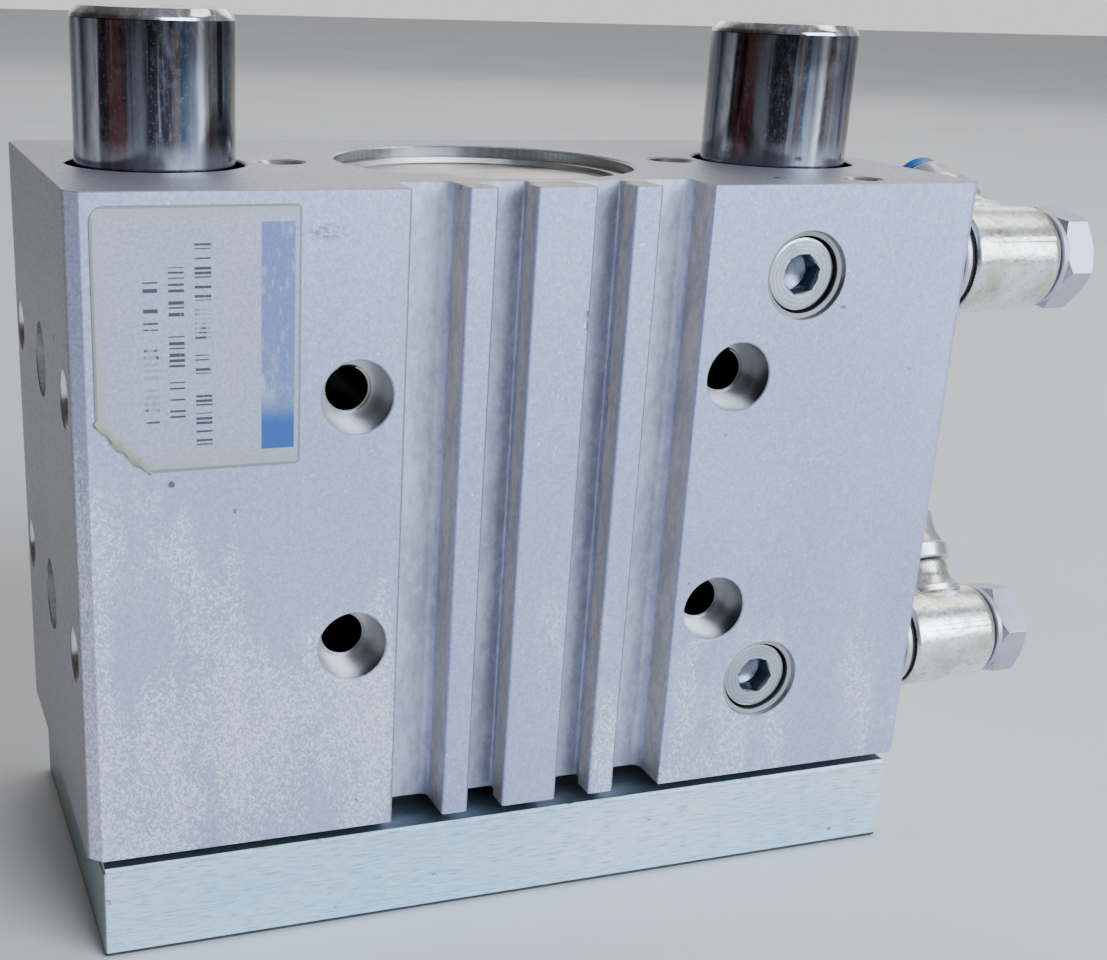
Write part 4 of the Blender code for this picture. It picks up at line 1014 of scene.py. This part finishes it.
def build_guide_rods():
    foot = rod_low.z / MM
    top = rod_high.z / MM
    r = GUIDE_RADIUS / MM
    profile = [(0, top - 0.5), (1.4, top - 0.1), (1.8, top), (r - 1.3, top), (r - 1.1, top - 0.06)]
    profile += [(r - 0.28, top - 0.95), (r - 0.06, top - 1.35), (r, top - 1.8), (r, foot + 0.4)]
    profile += [(r - 0.4, foot), (5.1, foot), (5.1, foot + 20), (0, foot + 20)]
    for side_name, x in (("left", -GUIDE_X), ("right", GUIDE_X)):
        rod = lathe(side_name + "_chromed_rod", mm(profile), 128, place(x, 0, 0))
        metal = chrome(side_name + "_chrome", x)
        show(rod, metal, "carriage", [side_name + "_guide_rod"])
        low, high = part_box(side_name + "_guide_rod_screw")
        build_socket_screw(side_name, x, low.z, high.z)


def build_socket_screw(side_name, x, low, high):
    head = 8.0 * MM
    shank = 4.8 * MM
    seat = 8.5 * MM
    rings = [(0, low), (head - 0.7 * MM, low), (head - 0.2 * MM, low + 0.25 * MM), (head, low + 0.8 * MM)]
    rings += [(head, seat), (shank, seat), (shank, high), (0, high)]
    screw = lathe(side_name + "_socket_head_screw", rings, 64, place(x, 0, 0))
    hexa = hexagon(8.0 * MM, 0.3, 0.15 * MM)
    socket = prism("socket", hexa, low - 1 * MM, low + 4 * MM, 0, place(x, 0, 0))
    combine(screw, [socket])
    dark = moulded(side_name + "_black_oxide", (0.055, 0.055, 0.06), 0.35, 0.85, 1200, 0.02)
    show(screw, dark, "carriage", [side_name + "_guide_rod_screw"])


# ---------------------------------------------------------------- flow-control valves


def branch_matrix(which):
    """Local +Z along the branch, from the valve's axis."""
    tilt = Matrix.Rotation(BRANCH_TILT[which] - QUARTER, 4, "X")
    return place(BRANCH_X, VALVE_Y, VALVES[which], tilt)


def build_hollow_screw(which, axis):
    """Hexagon head with a round flange and a chamfered crown, and the shank that holds the swivel body."""
    low = 21.6
    high = 27.0
    outline = hexagon(15.6 * MM, HEX_TURN[which] + QUARTER / 3, 0.25 * MM)
    hexa = prism("hex", outline, low * MM, high * MM, 0, axis)
    crown = [(0, high), (7.35, high), (7.75, high - 0.12), (9.3, high - 1.15)]
    crown += [(9.3, low + 0.85), (8.1, low), (0, low)]
    combine(hexa, [lathe("crown", mm(crown), 96, axis)], "INTERSECT")
    collar = [(0, low + 0.5), (7.6, low + 0.5), (7.95, low + 0.2), (8.05, low - 0.2), (8.05, low - 0.9)]
    collar += [(7.9, low - 1.1), (5.6, low - 1.1), (5.6, -12.5), (0, -12.5)]
    combine(hexa, [lathe("shank", mm(collar), 80, axis)], "UNION")
    bore = [(0, high + 1), (4.6, high + 1), (3.6, high - 0.1), (3.6, 12), (2.4, 12), (2.4, -14), (0, -14)]
    combine(hexa, [lathe("bore", mm(bore), 64, axis)])
    hexa.name = which + "_hollow_hex_screw"
    metal = plated(which + "_hex_metal", (0.54, 0.55, 0.65), 0.42)
    show(hexa, metal, "housing", [which + "_hollow_screw"])


def build_regulating_screw(which, axis):
    top = 26.2
    rings = [(0, top), (2.6, top), (3.15, top - 0.3), (3.3, top - 0.7), (3.3, 14)]
    rings += [(1.4, 12.6), (1.4, 4), (0, 2.4)]
    screw = lathe(which + "_needle_screw", mm(rings), 56, axis)
    turned = axis @ Matrix.Rotation(math.radians(35 if which == "upper" else 80), 4, "Z")
    slot = box("slot", *mm([(-0.45, -5, top - 1.5), (0.45, 5, top + 1)]), turned)
    combine(screw, [slot])
    metal = plated(which + "_needle_metal", (0.62, 0.60, 0.52), 0.28)
    show(screw, metal, which + "_regulator", [which + "_regulating_screw"])


def build_washer_and_seal(which, axis):
    washer = [(8.45, 1.4), (8.65, 1.3), (8.7, 1.1), (8.7, 0.5), (8.5, 0.2), (6.2, 0.2), (6.2, 1.4)]
    ring = lathe(which + "_flat_washer", mm(washer), 80, axis)
    metal = turned_metal(which + "_washer_metal", (0.72, 0.70, 0.72), 0, 0.3, 0.35)
    show(ring, metal, "housing", [which + "_washer"])
    angles = [math.radians(247.5 - 22.5 * i) for i in range(16)]
    rings = [(7.6 + 0.75 * math.cos(a), 1.87 + 0.4 * math.sin(a)) for a in angles]
    seal = lathe(which + "_o_ring", mm(rings), 80, axis)
    rubber = moulded(which + "_seal_rubber", (0.02, 0.02, 0.022), 0.5, 0.0)
    show(seal, rubber, "housing", [which + "_valve_seal"])


def build_swivel_body(which, axis):
    """Die-cast collar with rounded shoulders, joined to a slanted neck by a fillet."""
    start = 2.4
    end = 20.2
    profile = [(5.9, end)]
    for k in range(9):
        angle = QUARTER * (1 - k / 8)
        profile.append((7 + 1.75 * math.cos(angle), end - 2 + 2 * math.sin(angle)))
    profile += [(8.85, 15), (9, 9), (9.1, start + 0.9), (8.95, start + 0.35), (8.6, start), (5.9, start)]
    body = lathe("body", mm(profile), 96, axis)
    branch = branch_matrix(which)
    neck = [(0, 13), (5.7, 13), (6.2, 12.6), (6.3, 12), (6.25, 10.6), (6.45, 9.6), (7, 8.7), (7.7, 7.9)]
    neck += [(7.7, 6.9), (0, 6.9)]
    combine(body, [lathe("neck", mm(neck), 64, branch)], "UNION")
    cutters = [lathe("bore", mm([(0, 22), (5.9, 22), (5.9, 1), (0, 1)]), 80, axis)]
    cutters.append(lathe("way", mm([(0, 14), (3.6, 14), (3.6, 3), (0, 3)]), 40, branch))
    # The slit beside the neck.
    slit = branch @ Matrix.Rotation(math.radians(-62), 4, "Z")
    cutters.append(box("slit", *mm([(-0.35, -7.5, 9.6), (0.35, -5.9, 12.2)]), slit))
    combine(body, cutters)
    body.name = which + "_swivel_casting"
    fine = body.modifiers.new("Round", "BEVEL")
    fine.width = 0.18 * MM
    fine.segments = 2
    fine.limit_method = "ANGLE"
    fine.angle_limit = math.radians(50)
    metal = cast(which + "_cast_metal")
    show(body, metal, which + "_swivel", [which + "_swivel_body"])
    # Raised bars along the collar, in place of the moulded lettering.
    corners = mm([(4.4, -0.5, 0.35), (4.4, 0.5, 0.35), (18.4, 0.5, 0.35), (18.4, -0.5, 0.35)])
    outline = list(reversed(rounded_outline(corners, 4)))
    stand = Matrix(((0, 0, 1, 0), (0, 1, 0, 0), (1, 0, 0, 0), (0, 0, 0, 1)))
    for side, angle in (("front", -math.radians(68)), ("rear", math.radians(150))):
        matrix = axis @ Matrix.Rotation(angle + QUARTER, 4, "Z") @ stand
        name = which + "_" + side + "_cast_bar"
        bar = prism(name, outline, 8.45 * MM, 9.12 * MM, 0.12 * MM, matrix)
        show(bar, metal, which + "_swivel")


def build_connector(which):
    branch = branch_matrix(which)
    low = 13.3
    end = 22.6
    step = 16.2
    profile = [(4.3, end), (5.2, end), (5.5, end - 0.15), (5.6, end - 0.5), (5.6, 19.2), (5.75, 18.4)]
    profile += [(6.2, 17.2), (6.45, 16.4), (6.8, step), (7, 15.9), (7, 13.6), (6.75, low), (3.1, low)]
    profile += [(3.1, step), (4.3, step)]
    shell = lathe(which + "_push_in_shell", mm(profile), 80, branch)
    metal = plated(which + "_shell_metal", (0.70, 0.71, 0.75), 0.24)
    show(shell, metal, which + "_swivel", [which + "_connector"])
    # The rim stays 0.1 mm clear of the shell when the ring is pushed in by 1 mm.
    rim = end + 1.1
    top = 25.4
    foot = 17.6
    ring = [(3.05, top - 0.5), (3.5, top), (4.3, top), (4.65, top - 0.15), (4.8, top - 0.5)]
    ring += [(4.8, rim + 0.25), (4.6, rim), (4, rim), (4, foot), (3.05, foot)]
    release = lathe(which + "_blue_release_ring", mm(ring), 72, branch)
    blue = moulded(which + "_blue", (0.008, 0.135, 0.48), 0.3, 0.0, 1500, 0.02)
    show(release, blue, which + "_release", [which + "_release_ring"])


def build_valves():
    for which, z in VALVES.items():
        axis = place(SIDE, VALVE_Y, z, TO_RIGHT)
        build_washer_and_seal(which, axis)
        build_hollow_screw(which, axis)
        build_regulating_screw(which, axis)
        build_swivel_body(which, axis)
        build_connector(which)


# ---------------------------------------------------------------- inner parts


def dress_inner_parts():
    """The parts inside keep their CAD shape and get a material with grain of its own."""
    shared = {
        "anodised_aluminium": turned_metal("inner_aluminium", (0.60, 0.60, 0.63), 2, 0.4, 0.3),
        "black_rubber": moulded("inner_rubber", (0.02, 0.02, 0.022), 0.55),
        "cushion_rubber": moulded("inner_cushion", (0.05, 0.06, 0.07), 0.7),
        "guide_ring_plastic": moulded("inner_guide_ring", (0.04, 0.05, 0.07), 0.45),
        "magnet": moulded("inner_magnet", (0.03, 0.03, 0.032), 0.55, 0.2),
        "spring_steel": plated("inner_spring_steel", (0.16, 0.16, 0.17), 0.4),
        "bearing_bronze": moulded("inner_bronze", (0.36, 0.25, 0.13), 0.42, 0.9, 1300),
        "hard_chrome": chrome("inner_chrome"),
        "bright_steel": plated("inner_bright_steel", (0.62, 0.63, 0.66), 0.28),
    }
    slots = {row["node"]: row["material_slot"] for row in frame["record"]["subparts"]}
    for name, node in frame["nodes"].items():
        if node.hide_render:
            continue
        node.data.materials.clear()
        node.data.materials.append(shared[slots[name]])
        node.data.shade_smooth()
        node.data.set_sharp_from_angle(angle=math.radians(30))


# ---------------------------------------------------------------- studio


def build_camera():
    camera = bpy.data.objects.new("camera", bpy.data.cameras.new("camera"))
    bpy.context.scene.collection.objects.link(camera)
    right = Vector((0.94572, -0.32348, 0.03127))
    down = Vector((-0.08411, -0.33658, -0.93789))
    ahead = Vector((0.31391, 0.88435, -0.34552))
    matrix = Matrix((right, -down, -ahead)).transposed().to_4x4()
    matrix.translation = Vector((-102.95, -254.68, 148.45)) * MM
    camera.matrix_world = matrix
    camera.data.sensor_width = 36.0
    camera.data.lens = 52.15
    camera.data.shift_x = 0.14
    camera.data.shift_y = 0.08
    camera.data.clip_start = 0.01
    camera.data.clip_end = 50
    bpy.context.scene.camera = camera


def softbox(name, target, direction, distance, size, power, colour):
    light = bpy.data.lights.new(name, "AREA")
    light.shape = "RECTANGLE"
    light.size, light.size_y = size
    light.energy = power
    light.color = colour
    obj = bpy.data.objects.new(name, light)
    bpy.context.scene.collection.objects.link(obj)
    away = Vector(direction).normalized()
    obj.location = Vector(target) + away * distance
    obj.rotation_euler = away.to_track_quat("Z", "Y").to_euler()


def build_studio():
    bm = bmesh.new()
    bmesh.ops.create_grid(bm, x_segments=1, y_segments=1, size=6)
    floor = new_object("floor", bm)
    floor.location.z = cad_low.z
    floor.data.materials.append(floor_paper("floor_paper"))
    # The drive stands on its yoke plate, so the floor stays under the plate when that slides out.
    floor.parent = frame["bodies"]["carriage"]
    n = Nodes("studio", bpy.data.worlds, "Background", "Generated")
    x, y, z = n.axes()
    # The room is dimmer and warmer on the left, and a pale wall stands behind it.
    room = n.mix(n.ramp(x, -0.9, 0.3), (0.060, 0.050, 0.045), (0.40, 0.41, 0.43))
    wall = n.times(n.ramp(y, 0.35, 0.75), n.ramp(x, -0.35, -0.05))
    n.set("Color", n.mix(wall, room, (0.95, 0.95, 0.97)))
    bpy.context.scene.world = n.material
    middle = (0, 0, 0.07)
    softbox("key", middle, (0.55, -1.0, 0.55), 2.2, (1.95, 1.22), 77, (0.73, 0.85, 1.0))
    softbox("top", middle, (0.7, 0.15, 1.0), 2.0, (1.1, 0.55), 7.4, (1.0, 0.94, 0.78))
    softbox("back", middle, (0.5, 1.0, 0.5), 2.4, (1.8, 0.9), 6.8, (1.0, 0.97, 0.92))


build_camera()
build_studio()
build_housing()
build_rear_cap()
build_label()
build_plugs()
build_yoke_plate()
build_guide_rods()
build_valves()
dress_inner_parts()
